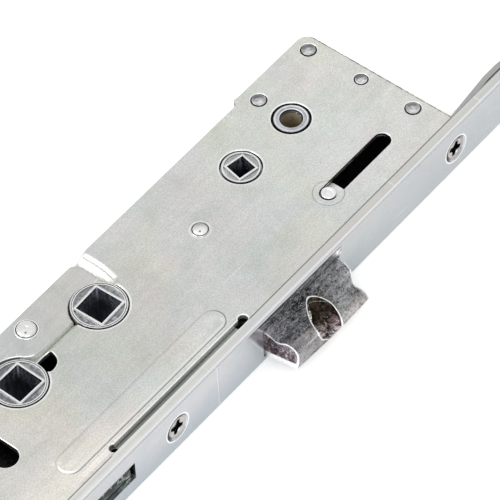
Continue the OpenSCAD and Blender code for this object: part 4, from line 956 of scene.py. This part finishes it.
for tt in (-0.2, -0.08, 0.0, 0.08, 0.16, 0.24, 0.31, 0.36, 0.41, 0.46, 0.51, 0.57, 0.66, 0.76, 0.86, 0.94, 1.0, 1.06, 1.2):
    ext += [(x_bend(gy) - 3.0 * tt, gy) for gy in np.arange(37.6, 49.9, 0.55)]
for gx in np.arange(-70.5, 5, 3.0):
    ext += [(gx, gy) for gy in (40, 43, 46)]
for r in (3.6, 3.76, 3.88, 4.0, 4.12, 4.24, 4.4):
    ext += circle((61.6, 12.38), r, 72, r)


def rim_case(x, y):
    # the upper part of the cover is folded over the back and top walls
    if x > 71.5 and y > 46 or x > 99:
        return 0.85
    return 0.33


sheet_piece("cover_pressing", case_edge, cover_holes, cover_z, 1.6, rim_case, "case", ZINC, ext, rim_in=0.3, node_name="case_cover", edge_mat=WORN_EDGE_HIGHLIGHT, kinds=cover_kinds, more=(SHADED_WALL,))

strap_edge = [(-72, 37.35), (-51.85, 37.35)] + arc((-48.6, 40.2), 3.25, 180, 0, 22) + chaikin_open(arc((-30, 35), 8.55, 157.0, 38, 34) + [(-22.2, 38.7), (-20.6, 37.75), (-18.9, 37.4)], 2) \
    + arc((0, 35), 7.6, 163.6, 28.16, 36) + arc((4.6, 46.9), 2.1, 0, 90, 12) + [(-72, 49)]
strap_edge = resample(strap_edge, 1.2)
sext = [(gx, gy) for gx in np.arange(-70.6, 6, 2.0) for gy in (39.6, 42, 44.5, 47)]
sheet_piece("strap_pressing", strap_edge, [circle((-66, 44.6), 2.12, 40)], lambda x, y: 7.2 + 1.4 * wave(x + 31, y * 1.4), 1.6, 0.33, "case", STRAP, sext,
            rim_in=0.28, node_name="cover_strap", edge_mat=WORN_EDGE_HIGHLIGHT, kinds=strap_kinds, more=(SHADED_WALL, LIT_STRAP_WALL))

for nm, hx in (("top_box_cover", 215.0), ("bottom_box_cover", -215.0)):
    lp = [(hx - 50, 3), (hx + 27, 3)] + arc((hx + 24, 39), 3, 0, 90, 10) + arc((hx - 47, 39), 3, 90, 180, 10)
    rv = [(hx - 46.3, 37.6), (hx - 12, 38.4), (hx + 23.3, 37.6)]
    e2 = [(gx, gy) for gx in np.arange(hx - 48, hx + 26, 3.0) for gy in np.arange(5, 41, 3.0)]
    sheet_piece(nm + "_pressing", resample(lp, 1.5), [circle((hx, 22), 3.06, 48)] + [circle(p, 1.6, 32) for p in rv],
                lambda x, y: 8.0 + wave(x, y), 1.6, 0.33, "case", ZINC, e2, rim_in=0.12, node_name=nm)


# ------------------------------------------------------------------ turned pieces
def lathe_rings(prof, centre, seg, verts, faces, axis="z"):
    """Adds a turned solid: prof is a closed loop of (radius, height)."""
    s = len(verts)
    n = len(prof)
    for i in range(seg):
        a = 2 * math.pi * i / seg
        for r, z in prof:
            if axis == "z":
                verts.append(((centre[0] + r * math.cos(a)) * MM, (centre[1] + r * math.sin(a)) * MM, z * MM))
            else:
                verts.append(((centre[0] + r * math.cos(a)) * MM, z * MM, (centre[1] - r * math.sin(a)) * MM))
    for i in range(seg):
        j = (i + 1) % seg
        for k in range(n):
            m = (k + 1) % n
            if prof[k][0] < 1e-6 and prof[m][0] < 1e-6:
                continue
            faces.append((s + i * n + k, s + j * n + k, s + j * n + m, s + i * n + m))


def arc_rz(c, r, a0, a1, n):
    return [(c[0] + r * math.cos(math.radians(a0 + (a1 - a0) * i / n)), c[1] + r * math.sin(math.radians(a0 + (a1 - a0) * i / n))) for i in range(n + 1)]


def rivet_prof(z, r, sunk, drop=0.0):
    z0 = z - 0.75 if sunk else z + 0.005
    t = z - drop
    return [(0, -8), (1.38, -8), (1.5, -7.88), (1.5, z0 - 0.1), (r - 0.12, z0 - 0.02), (r, z0 + 0.1)] + \
        arc_rz((r - 0.2, t + 0.03), 0.2, 0, 110, 5) + [(r * 0.74, t + 0.10), (r * 0.66, t + 0.045), (r * 0.56, t + 0.04), (r * 0.46, t + 0.10), (r * 0.3, t + 0.17), (r * 0.15, t + 0.2), (0, t + 0.2)]


v, f = [], []
for i, p in enumerate(RV):
    lathe_rings(rivet_prof(8.0, 1.62 if i == 1 else 1.86, True, 0.1 if i == 1 else 0), p, 48, v, f)
lathe_rings(rivet_prof(7.2, 1.86, True), (-66, 44.6), 48, v, f)
new_object("case_rivets_formed", v, f, "case", 45, RIVET, "case_rivets")

v, f = [], []
for hx in (215.0, -215.0):
    for p in ((hx - 46.3, 37.6), (hx - 12, 38.4), (hx + 23.3, 37.6)):
        lathe_rings(rivet_prof(8.0, 1.9, False), p, 48, v, f)
new_object("box_rivets_formed", v, f, "case", 45, RIVET, "box_rivets")


def dome_prof(z, r, h, bore, pip=0.0):
    # thin collar, a groove, and the crowned head inside it
    c = r * 0.84
    q = [(0, -8), (bore - 0.1, -8), (bore, -7.9), (bore, z - 0.05), (r - 0.05, z - 0.03), (r, z + 0.1), (r - 0.08, z + 0.2), (r - 0.2, z + 0.22), (c + 0.17, z + 0.18), (c + 0.12, z + 0.04), (c, z + 0.03)]
    for k in range(0, 15):
        t = k / 14
        rr = c * (1 - t) * 0.985
        q.append((rr, z + 0.2 + (h - 0.2) * math.sqrt(max(0.0, 1 - (1 - t) ** 2.4)) if rr > 0.02 else z + h))
    if pip:
        q = q[:-1]
        q = [k for k in q if k[0] > 0.62 or k[1] < 0] + [(0.5, z + h - 0.02), (0.38, z + h - 0.2), (0.2, z + h - 0.24), (0, z + h - 0.24)]
    return q


v, f = [], []
lathe_rings(dome_prof(8.0, 2.4, 0.95, 1.8), (33.2, 30.3), 64, v, f)
lathe_rings(dome_prof(7.2, 3.1, 1.05, 1.2, 1), (-16.1, 44.6), 64, v, f)
domes = new_object("dome_rivets_formed", v, f, "case", 50, DOME, "dome_rivets")
# the groove round each head in painted shade
domes.data.materials.append(SHADED_WALL)
for pl in domes.data.polygons:
    for (cx, cy), zt, r in (((33.2, 30.3), 8.0, 2.4), ((-16.1, 44.6), 7.2, 3.1)):
        d = math.hypot(pl.center.x / MM - cx, pl.center.y / MM - cy)
        if r * 0.84 - 0.01 < d < r * 0.84 + 0.16 and zt + 0.02 < pl.center.z / MM < zt + 0.15:
            pl.material_index = 1

# bush of the bolt hole: chamfered bore, groove, rolled outer band
v, f = [], []
top = [(2.50, 6.6), (2.52, 7.22), (3.00, 7.50), (3.06, 7.92), (3.22, 8.04), (3.50, 8.05), (3.66, 7.93), (3.84, 7.90), (4.0, 7.97), (4.22, 8.02), (4.5, 7.9), (4.6, 7.6)]
prof = top + [(4.6, 6.3), (5.9, 6.3), (6.0, 6.2), (6.0, -6.2), (5.9, -6.3), (4.6, -6.3)] + [(r, -min(z, 8.0)) for r, z in top[::-1]]
lathe_rings([(r, min(z, 8.06)) for r, z in prof], (75, 35), 96, v, f)
bush = new_object("bolt_bush_turned", v, f, "case", 40, BUSH, "bolt_bush")
for mt in (BORE, SHADED_WALL, WORN_EDGE_HIGHLIGHT):
    bush.data.materials.append(mt)
# brown bore, dark rings in painted shade, a bright ring as painted highlight
for pl in bush.data.polygons:
    r, z = math.hypot(pl.center.x - 0.075, pl.center.y - 0.035) / MM, abs(pl.center.z) / MM
    if r < 2.56:
        pl.material_index = 1
    elif r < 3.05 or r > 4.61 or r > 4.5 and z < 7.8:
        pl.material_index = 2
    elif 3.05 < r < 3.24 or 3.98 < r < 4.24 and z > 7.9:
        pl.material_index = 3

# drive pin with an upset end
v, f = [], []
prof = [(0, 3.8), (1.4, 3.8), (1.5, 3.9), (1.5, 5.95), (1.9, 5.98), (1.95, 6.05), (1.95, 7.9)] + arc_rz((1.68, 7.9), 0.27, 0, 90, 4) + \
    [(1.3, 8.18), (1.12, 8.16), (0.98, 7.98), (0.78, 7.96), (0.55, 8.06), (0.3, 8.1), (0, 8.1)]
lathe_rings(prof, (61.6, 12.38), 64, v, f)
new_object("slide_pin_turned", v, f, "drive", 45, PIN, "slide_pin")


# ------------------------------------------------------------------ helical springs
def helix(name, start, axis, r, wire, length, turns, body, mat, node_name, u, w):
    """Spring wire round axis from start, with closed end turns."""
    cen, n = [], int(turns * 28)
    rr = r
    for i in range(n + 1):
        t = i / n * turns
        dead = 0.9
        if t < dead:
            h = wire * 2 * t / dead
        elif t > turns - dead:
            h = length - 2 * wire - wire * 2 * (turns - t) / dead
        else:
            h = 2 * wire + (length - 6 * wire) * (t - dead) / (turns - 2 * dead)
        a = 2 * math.pi * t
        cen.append(Vector(start) + Vector(axis) * (h + wire) + Vector(u) * rr * math.cos(a) + Vector(w) * rr * math.sin(a))
    v, f = [], []
    m = 10
    for i, c in enumerate(cen):
        tg = (cen[min(i + 1, n)] - cen[max(i - 1, 0)]).normalized()
        rad = c - Vector(start)
        rad = (rad - Vector(axis) * rad.dot(Vector(axis))).normalized()
        bn = tg.cross(rad).normalized()
        rad = bn.cross(tg).normalized()
        for k in range(m):
            a = 2 * math.pi * k / m
            v.append(tuple((c + rad * wire * math.cos(a) + bn * wire * math.sin(a)) * MM))
    for i in range(n):
        for k in range(m):
            j = (k + 1) % m
            f.append((i * m + k, i * m + j, (i + 1) * m + j, (i + 1) * m + k))
    f.append(tuple(range(m))[::-1])
    f.append(tuple(n * m + k for k in range(m)))
    return new_object(name, v, f, body, 60, mat, node_name)


lsp = helix("latch_spring_wound", (25.4, 9.1, 0), (0, 1, 0), 2.6, 0.45, 17.5, 8, "case", SPRING, "latch_spring", (1, 0, 0), (0, 0, 1))
ksp = helix("link_spring_wound", (-59.7, 44.8, -1.9), (1, 0, 0), 1.45, 0.35, 24.3, 12, "case", SPRING, "link_spring", (0, 1, 0), (0, 0, 1))


# ------------------------------------------------------------------ cast latch
def catmull(pts, n):
    p = np.array(pts, float)
    out = []
    for i in range(len(p) - 1):
        a = p[max(i - 1, 0)]
        b, c = p[i], p[i + 1]
        d = p[min(i + 2, len(p) - 1)]
        for k in range(n):
            t = k / n
            out.append(tuple(0.5 * ((2 * b) + (c - a) * t + (2 * a - 5 * b + 4 * c - d) * t * t + (3 * b - a - 3 * c + d) * t ** 3)))
    out.append(tuple(p[-1]))
    return out


def even(pts, n):
    p = np.array(pts, float)
    s = np.concatenate([[0], np.cumsum(np.linalg.norm(np.diff(p, axis=0), axis=1))])
    t = np.linspace(0, s[-1], n)
    return np.stack([np.interp(t, s, p[:, 0]), np.interp(t, s, p[:, 1])], 1)


LU = [(8.9, 3.75), (0, 3.75), (-1.2, 3.7), (-2.52, 3.2), (-4.03, 1.7), (-4.24, -1.29), (-4.92, -3.4), (-6.36, -3.64), (-7.93, -3.7), (-8.85, -4.5), (-9.5, -5.35), (-9.4, -5.6)]
LM = [(8.9, 3.75), (0, 3.75), (-1.8, 3.1), (-3.8, 2.3), (-5.2, 1.7), (-6.4, 1.1), (-7.4, 0.3), (-8.4, -1.2), (-9.2, -3.0), (-9.6, -4.6), (-9.65, -5.35), (-9.45, -5.6)]
LL = [(8.9, 3.75), (0, 3.75), (-1.71, 3.0), (-2.66, 2.21), (-3.63, 1.83), (-4.76, 2.03), (-6.19, 2.65), (-7.31, 2.57), (-8.14, 2.3), (-8.95, 1.63), (-9.48, 0.77), (-9.77, -0.44), (-9.78, -1.42), (-9.6, -3.13), (-9.24, -4.96), (-9.0, -5.6)]
NP = 46


def section(prof):
    a, b = prof[0], prof[1]
    top = [(a[0] + (b[0] - a[0]) * k / 4, a[1] + (b[1] - a[1]) * k / 4) for k in range(4)]
    nose = even(catmull(prof[1:], 8), NP)
    bot = [(y, -5.6) for y in (-6.5, -3.0, 0.5, 4.5, 8.9)]
    return np.array(top + [tuple(q) for q in nose] + bot)


SL, SM, SU = section(LL), section(LM), section(LU)
SC = 2 * SM - 0.5 * (SL + SU)


def at_x(u):
    return (1 - u) ** 2 * SL + 2 * u * (1 - u) * SC + u * u * SU


NX = 44
v, f = [], []
m = len(SL)
x0, x1 = 20.4, 49.5
for i in range(NX + 1):
    u = i / NX
    for y, z in at_x(u):
        # faint unevenness of the casting
        w = 0.035 * math.sin(u * 19 + y * 1.3) * math.sin(z * 1.9 + u * 7) if y < -0.5 and -5.4 < z else 0.0
        skew = -0.14 * min(y, 0.0) * (1 - u)
        v.append(((x0 + skew + (x1 - x0) * u) * MM, max(y, -9.785) * MM, (z + w) * MM))
for i in range(NX):
    for k in range(m):
        j = (k + 1) % m
        f.append((i * m + k, i * m + j, (i + 1) * m + j, (i + 1) * m + k))
# upper end closed flat
f.append(tuple(NX * m + k for k in range(m)))
# lower end: rim, then a pocket that follows the outline
ring = at_x(0.0)
nose_idx = [k for k in range(m) if ring[k][0] < -1.35]
f_end = tuple(range(m))[::-1]
f.append(f_end)
latch = new_object("latch_casting", v, f, "latch", 32, None, "latch_bolt")


def extruded(name, loop, a, b, axis):
    """Closed prism of a plan loop between a and b along x, y or z (for cutting)."""
    loop = ccw(loop)
    n = len(loop)
    v = []
    for h in (a, b):
        for p, q in loop:
            v.append({"x": (h, p, q), "z": (p, q, h), "y": (p, h, q)}[axis])
    f = [tuple(range(n))[::-1], tuple(n + k for k in range(n))] + [(k, (k + 1) % n, n + (k + 1) % n, n + k) for k in range(n)]
    me = bpy.data.meshes.new(name)
    me.from_pydata([tuple(c * MM for c in p) for p in v], [], f)
    bm = bmesh.new()
    bm.from_mesh(me)
    bmesh.ops.recalc_face_normals(bm, faces=bm.faces)
    bm.to_mesh(me)
    bm.free()
    return me


def joined(name, meshes):
    bm = bmesh.new()
    for me in meshes:
        bm.from_mesh(me)
    out = bpy.data.meshes.new(name)
    bm.to_mesh(out)
    bm.free()
    for me in meshes:
        bpy.data.meshes.remove(me)
    return out


def boolean(ob, meshes, op="DIFFERENCE"):
    """Cuts (or adds) solids and keeps the result as the object's own mesh."""
    cut = bpy.data.objects.new("tool", joined("tool", meshes))
    scene.collection.objects.link(cut)
    md = ob.modifiers.new("b", "BOOLEAN")
    md.operation = op
    md.solver = "EXACT"
    md.object = cut
    bpy.context.view_layer.update()
    dg = bpy.context.evaluated_depsgraph_get()
    me = bpy.data.meshes.new_from_object(ob.evaluated_get(dg))
    ob.modifiers.remove(md)
    old = ob.data
    ob.data = me
    bpy.data.objects.remove(cut)
    if old.users == 0:
        bpy.data.meshes.remove(old)


def ease(ob, width, angle=32, segs=2, flat=0.4, sharp=32, keep=None):
    """Welds, merges flat faces and rounds the sharp edges of a piece (keep(edge) leaves an edge as it is)."""
    bm = bmesh.new()
    bm.from_mesh(ob.data)
    bmesh.ops.remove_doubles(bm, verts=bm.verts, dist=2e-6)
    bmesh.ops.dissolve_limit(bm, angle_limit=math.radians(flat), verts=bm.verts, edges=bm.edges, delimit={"MATERIAL"})
    for fc in bm.faces:
        fc.smooth = True
    for e in bm.edges:
        e.smooth = not (len(e.link_faces) == 2 and e.calc_face_angle(0) > math.radians(sharp))
    if keep:
        wl = bm.edges.layers.float.get("bevel_weight_edge") or bm.edges.layers.float.new("bevel_weight_edge")
        for e in bm.edges:
            e[wl] = 1.0 if len(e.link_faces) == 2 and e.calc_face_angle(0) > math.radians(angle) and not keep(e) else 0.0
    bm.to_mesh(ob.data)
    bm.free()
    b = ob.modifiers.new("bevel", "BEVEL")
    b.width = width * MM
    b.segments = segs
    b.limit_method = "WEIGHT" if keep else "ANGLE"
    b.angle_limit = math.radians(angle)
    b.use_clamp_overlap = True
    b.harden_normals = True
    b.miter_outer = "MITER_ARC"
    return ob


# the deep hole with its ledge, the end pocket and the tail with the lever slot
pk = [(0.7, -3.8), (0.7, 3.1), (-1.8, 2.42), (-2.75, 1.62), (-3.65, 1.27), (-4.75, 1.47), (-6.15, 2.08), (-7.2, 2.0), (-7.85, 1.75), (-8.5, 1.2), (-8.95, 0.5), (-9.2, -0.5), (-9.2, -1.45), (-9.02, -3.1), (-8.9, -3.8)]
pk = [pk[0]] + chaikin_open(pk[1:-1], 1) + [pk[-1]]
tail = extruded("tail", [(39.2, 8.4), (48.4, 8.4), (48.4, 27.5), (41.2, 27.5), (41.2, 32.2), (48.4, 32.2), (48.4, 34.8), (39.2, 34.8)], -3, 3, "z")
boolean(latch, [tail], "UNION")
boolean(latch, [extruded("p", pk, 18, 22.9, "x")])
boolean(latch, [extruded("c", [egg(k * 5) for k in range(72)], 1.0, 12, "z")])
hole = []
for k in range(72):
    an = k * 5
    dent = 0.27 * math.sin(math.pi * (an - 92) / 96) ** 1.3 if 92 < an < 188 else 0.0
    hole.append(egg(an, 0.992 - dent))
td = bpy.data.objects.new("td", extruded("d", hole, -4.9, 1.05, "z"))
scene.collection.objects.link(td)
boolean(td, [extruded("w", [(29.0, -6), (34.6, -6), (33.4, -4.9), (32.0, -3.85), (31.2, -3.1), (30.6, -1.7), (30.1, -0.2), (29.0, 1.5)], -12, -8.9, "y")])
td_mesh = td.data
bpy.data.objects.remove(td)
boolean(latch, [td_mesh])
ease(latch, 0.26, 38, 2, 0.05, 38)
latch.data.materials.clear()
for mt in (LATCH, HOLE, POCKET, WORN_EDGE_HIGHLIGHT):
    latch.data.materials.append(mt)
pk_out = offset(ccw(pk), -0.06)
for pl in latch.data.polygons:
    c = pl.center / MM
    in_hole = egg_r(c.x, c.y) < 1.006 and (abs(pl.normal.z) < 0.3 and c.z > -4.95 and c.y > -9.75 or c.z < 1.06 and pl.normal.z > 0.9)
    if in_hole and 22 < c.x < 45 and c.y < -1.5 and not (c.y < -8.95 and pl.normal.y < -0.5):
        pl.material_index = 1
    elif c.x < 22.95 and inside([(c.y, c.z)], pk_out)[0] and (c.x > 22.8 or abs(pl.normal.x) < 0.5):
        pl.material_index = 2
    # the rim of the lower end as painted highlight
    elif pl.normal.x < -0.7 and c.x < 22.5 and c.z > -3.7 and c.y < 0.6:
        pl.material_index = 3
    else:
        pl.material_index = 0
latch.modifiers["bevel"].material = 3


# ------------------------------------------------------------------ followers and snib hub with their stamped end faces
def spin(pts, a, c):
    a = math.radians(a)
    return [(c[0] + x * math.cos(a) - y * math.sin(a), c[1] + x * math.sin(a) + y * math.cos(a)) for x, y in pts]


def faced(name, src, body, centre, angle, r_in, half, depth, mat, bevel, square, r_top=None, groove=None):
    me = NODES[src].data.copy()
    ob = bpy.data.objects.new(name, me)
    scene.collection.objects.link(ob)
    bm = bmesh.new()
    bm.from_mesh(me)
    bmesh.ops.remove_doubles(bm, verts=bm.verts, dist=2e-6)
    bm.to_mesh(me)
    bm.free()
    a = math.degrees(math.acos(half / r_in))
    tools = []
    for k in range(4):
        chord = arc((0, 0), r_in, -a, a, 14)
        lp = spin(chord, angle + 90 * k, centre)
        tools.append(extruded("s%d" % k, lp, 8 - depth, 9, "z"))
        tools.append(extruded("t%d" % k, lp, -9, -8 + depth, "z"))
    boolean(ob, tools)
    if groove:
        tools = []
        for z0, z1 in ((8 - 0.3, 9.0), (-9.0, -8 + 0.3)):
            v, f = [], []
            lathe_rings([(groove - 0.11, z0), (groove + 0.11, z0), (groove + 0.11, z1), (groove - 0.11, z1)], centre, 96, v, f)
            me2 = bpy.data.meshes.new("ring")
            me2.from_pydata(v, [], f)
            bm = bmesh.new()
            bm.from_mesh(me2)
            bmesh.ops.recalc_face_normals(bm, faces=bm.faces)
            bm.to_mesh(me2)
            bm.free()
            tools.append(me2)
        boolean(ob, tools)
    if r_top:
        # the visible neck turned a little smaller than the bearing below it
        ringo = circle(centre, 12, 64)
        tools = []
        for z0, z1 in ((7.0, 9.0), (-9.0, -7.0)):
            v, f = [], []
            lathe_rings([(r_top, z0), (12, z0), (12, z1), (r_top, z1)], centre, 72, v, f)
            me2 = bpy.data.meshes.new("ring")
            me2.from_pydata(v, [], f)
            bm = bmesh.new()
            bm.from_mesh(me2)
            bmesh.ops.recalc_face_normals(bm, faces=bm.faces)
            bm.to_mesh(me2)
            bm.free()
            tools.append(me2)
        boolean(ob, tools)
    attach(ob, body)
    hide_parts(src)
    def inner(e):
        p, q = e.verts[0].co / MM, e.verts[1].co / MM
        return abs(p.x - q.x) < 0.02 and abs(p.y - q.y) < 0.02 and math.hypot(p.x - centre[0], p.y - centre[1]) < square * 1.5
    ease(ob, bevel, 30, 2, 0.3, 30, inner)
    ob.data.materials.clear()
    for mt in (mat, SQUARE, WORN_EDGE_HIGHLIGHT, SHADED_WALL):
        ob.data.materials.append(mt)
    ca, sa = math.cos(math.radians(angle)), math.sin(math.radians(angle))
    for pl in ob.data.polygons:
        x, y = pl.center.x / MM - centre[0], pl.center.y / MM - centre[1]
        u, w = x * ca + y * sa, -x * sa + y * ca
        pl.material_index = 1 if abs(pl.normal.z) < 0.3 and max(abs(u), abs(w)) < square + 0.15 else 0
        # the groove in painted shade
        if groove and abs(math.hypot(x, y) - groove) < 0.2 and 7.6 < abs(pl.center.z / MM) < 7.98 and len(pl.vertices) < 12:
            pl.material_index = 3
    ob.modifiers["bevel"].material = 2
    return ob


faced("upper_follower_faced", "upper_follower", "upper_follower", (0, 35), 2, 6.4, 4.75, 0.42, FACES[0], 0.24, 4.05, None, 6.78)
faced("lower_follower_faced", "lower_follower", "lower_follower", (-30, 35), -1, 6.4, 4.75, 0.42, FACES[1], 0.24, 4.05, None, 6.78)
faced("snib_hub_faced", "snib_hub", "snib", (55, 35), -11, 4.45, 3.22, 0.26, FACES[2], 0.18, 2.6, 5.0)


def recut(name, src, body):
    """A copy of a CAD node as a piece of its own, ready to be cut."""
    me = NODES[src].data.copy()
    ob = bpy.data.objects.new(name, me)
    scene.collection.objects.link(ob)
    bm = bmesh.new()
    bm.from_mesh(me)
    bmesh.ops.remove_doubles(bm, verts=bm.verts, dist=2e-6)
    bm.to_mesh(me)
    bm.free()
    return ob


screws = recut("faceplate_screws_sunk", "faceplate_screws", "case")
boolean(screws, [extruded("h%d" % k, [(x - 5, -5), (x + 5, -5), (x + 5, 5), (x - 5, 5)], -1, 0.32, "y") for k, x in enumerate(SCREW_X)])
plus = []
for k in range(4):
    a = math.radians(90 * k - 19.5)
    for q, w in ((2.3, -0.52), (2.3, 0.52), (1.05, 0.80), (0.80, 1.05)):
        plus.append((q * math.cos(a) - w * math.sin(a), q * math.sin(a) + w * math.cos(a)))
boolean(screws, [extruded("x%d" % k, [(x + q, w) for q, w in plus], -1, 1.3, "y") for k, x in enumerate(SCREW_X)])
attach(screws, "case")
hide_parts("faceplate_screws")
ease(screws, 0.10, 30, 2, 0.3, 30)
screws.data.materials.clear()
for mt in (SCREW, RECESS):
    screws.data.materials.append(mt)
for pl in screws.data.polygons:
    c = pl.center / MM
    if 0.34 < c.y < 3.0 and min(math.hypot(c.x - x, c.z) for x in SCREW_X) < 2.42 and (abs(c.y - 1.3) > 1.2 or abs(pl.normal.y) < 0.5 or c.y > 0.5):
        pl.material_index = 1

slide = recut("drive_slide_cut", "drive_slide", "drive")
boolean(slide, [extruded("c0", circle((18.0, 4.6), 2.25, 40), 3, 8, "z"), extruded("c1", circle((-31.0, 3.75), 1.5, 40), 3, 8, "z")])
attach(slide, "drive")
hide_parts("drive_slide")
ease(slide, 0.15, 30, 2, 0.3, 30)
slide.data.materials.clear()
slide.data.materials.append(DRIVE)

# ------------------------------------------------------------------ CAD nodes that stay: finish and eased edges
SHOWN_AS_PIECES = {"case_cover", "cover_strap", "top_box_cover", "bottom_box_cover", "case_rivets", "box_rivets", "dome_rivets", "bolt_bush",
                   "slide_pin", "latch_spring", "link_spring", "latch_bolt", "upper_follower", "lower_follower", "snib_hub", "faceplate_screws", "drive_slide"}
for n, ob in NODES.items():
    for s in ob.material_slots:
        s.material = FOR_NODE[n]
    if not ob.material_slots:
        ob.data.materials.append(FOR_NODE[n])
soften([n for n in NODES if n not in SHOWN_AS_PIECES], 0.15)

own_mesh(lsp)
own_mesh(ksp)

# ------------------------------------------------------------------ floor and light
fz = CAD_BOX[0].z - 0.00002
me = bpy.data.meshes.new("floor")
s = 3.0
me.from_pydata([(-s, -s, fz), (s, -s, fz), (s, s, fz), (-s, s, fz)], [], [(0, 1, 2, 3)])
floor = bpy.data.objects.new("floor", me)
scene.collection.objects.link(floor)
fm = bpy.data.materials.new("floor_paper")
fm.use_nodes = True
nt = fm.node_tree
fp = nt.nodes["Principled BSDF"]
fco = node(nt, "ShaderNodeTexCoord", -900, 0).outputs["Object"]
fn = noise_tex(nt, fco, 30, 3, 0.5, x=-700)
nt.links.new(ramp(nt, fn, [(0.3, (0.93, 0.93, 0.93)), (0.7, (0.95, 0.95, 0.95))], -500), fp.inputs["Base Color"])
fp.inputs["Roughness"].default_value = 0.8
fp.inputs["Emission Color"].default_value = (1, 1, 1, 1)
fp.inputs["Emission Strength"].default_value = 0.36
me.materials.append(fm)

world = bpy.data.worlds.new("studio")
scene.world = world
world.use_nodes = True
wn = world.node_tree
bg = wn.nodes["Background"]
wco = node(wn, "ShaderNodeTexCoord", -900, 0).outputs["Generated"]
sep = node(wn, "ShaderNodeSeparateXYZ", -700, 0)
wn.links.new(wco, sep.inputs[0])
wr = ramp(wn, sep.outputs["Z"], [(0.0, (0.9, 0.9, 0.9)), (0.35, (0.80, 0.80, 0.81)), (1.0, (1.0, 1.0, 1.0))], -500)
wn.links.new(wr, bg.inputs["Color"])
bg.inputs["Strength"].default_value = 0.95


def soft_light(name, loc, target, size, power, colour=(1, 1, 1)):
    ld = bpy.data.lights.new(name, "AREA")
    ld.shape = "RECTANGLE"
    ld.size, ld.size_y = size
    ld.energy = power
    ld.color = colour
    lo = bpy.data.objects.new(name, ld)
    scene.collection.objects.link(lo)
    lo.location = loc
    lo.rotation_mode = "QUATERNION"
    lo.rotation_quaternion = (Vector(target) - Vector(loc)).to_track_quat("-Z", "Y")
    return lo


soft_light("key", (-1.3, 0.8, 1.1), (0.03, 0.02, 0), (1.2, 1.2), 12)
soft_light("fill", (-0.9, -0.8, 0.9), (0.03, 0.0, 0), (1.0, 1.0), 5)

scene.view_settings.view_transform = "Standard"
scene.view_settings.look = "None"
scene.view_settings.exposure = 0.0
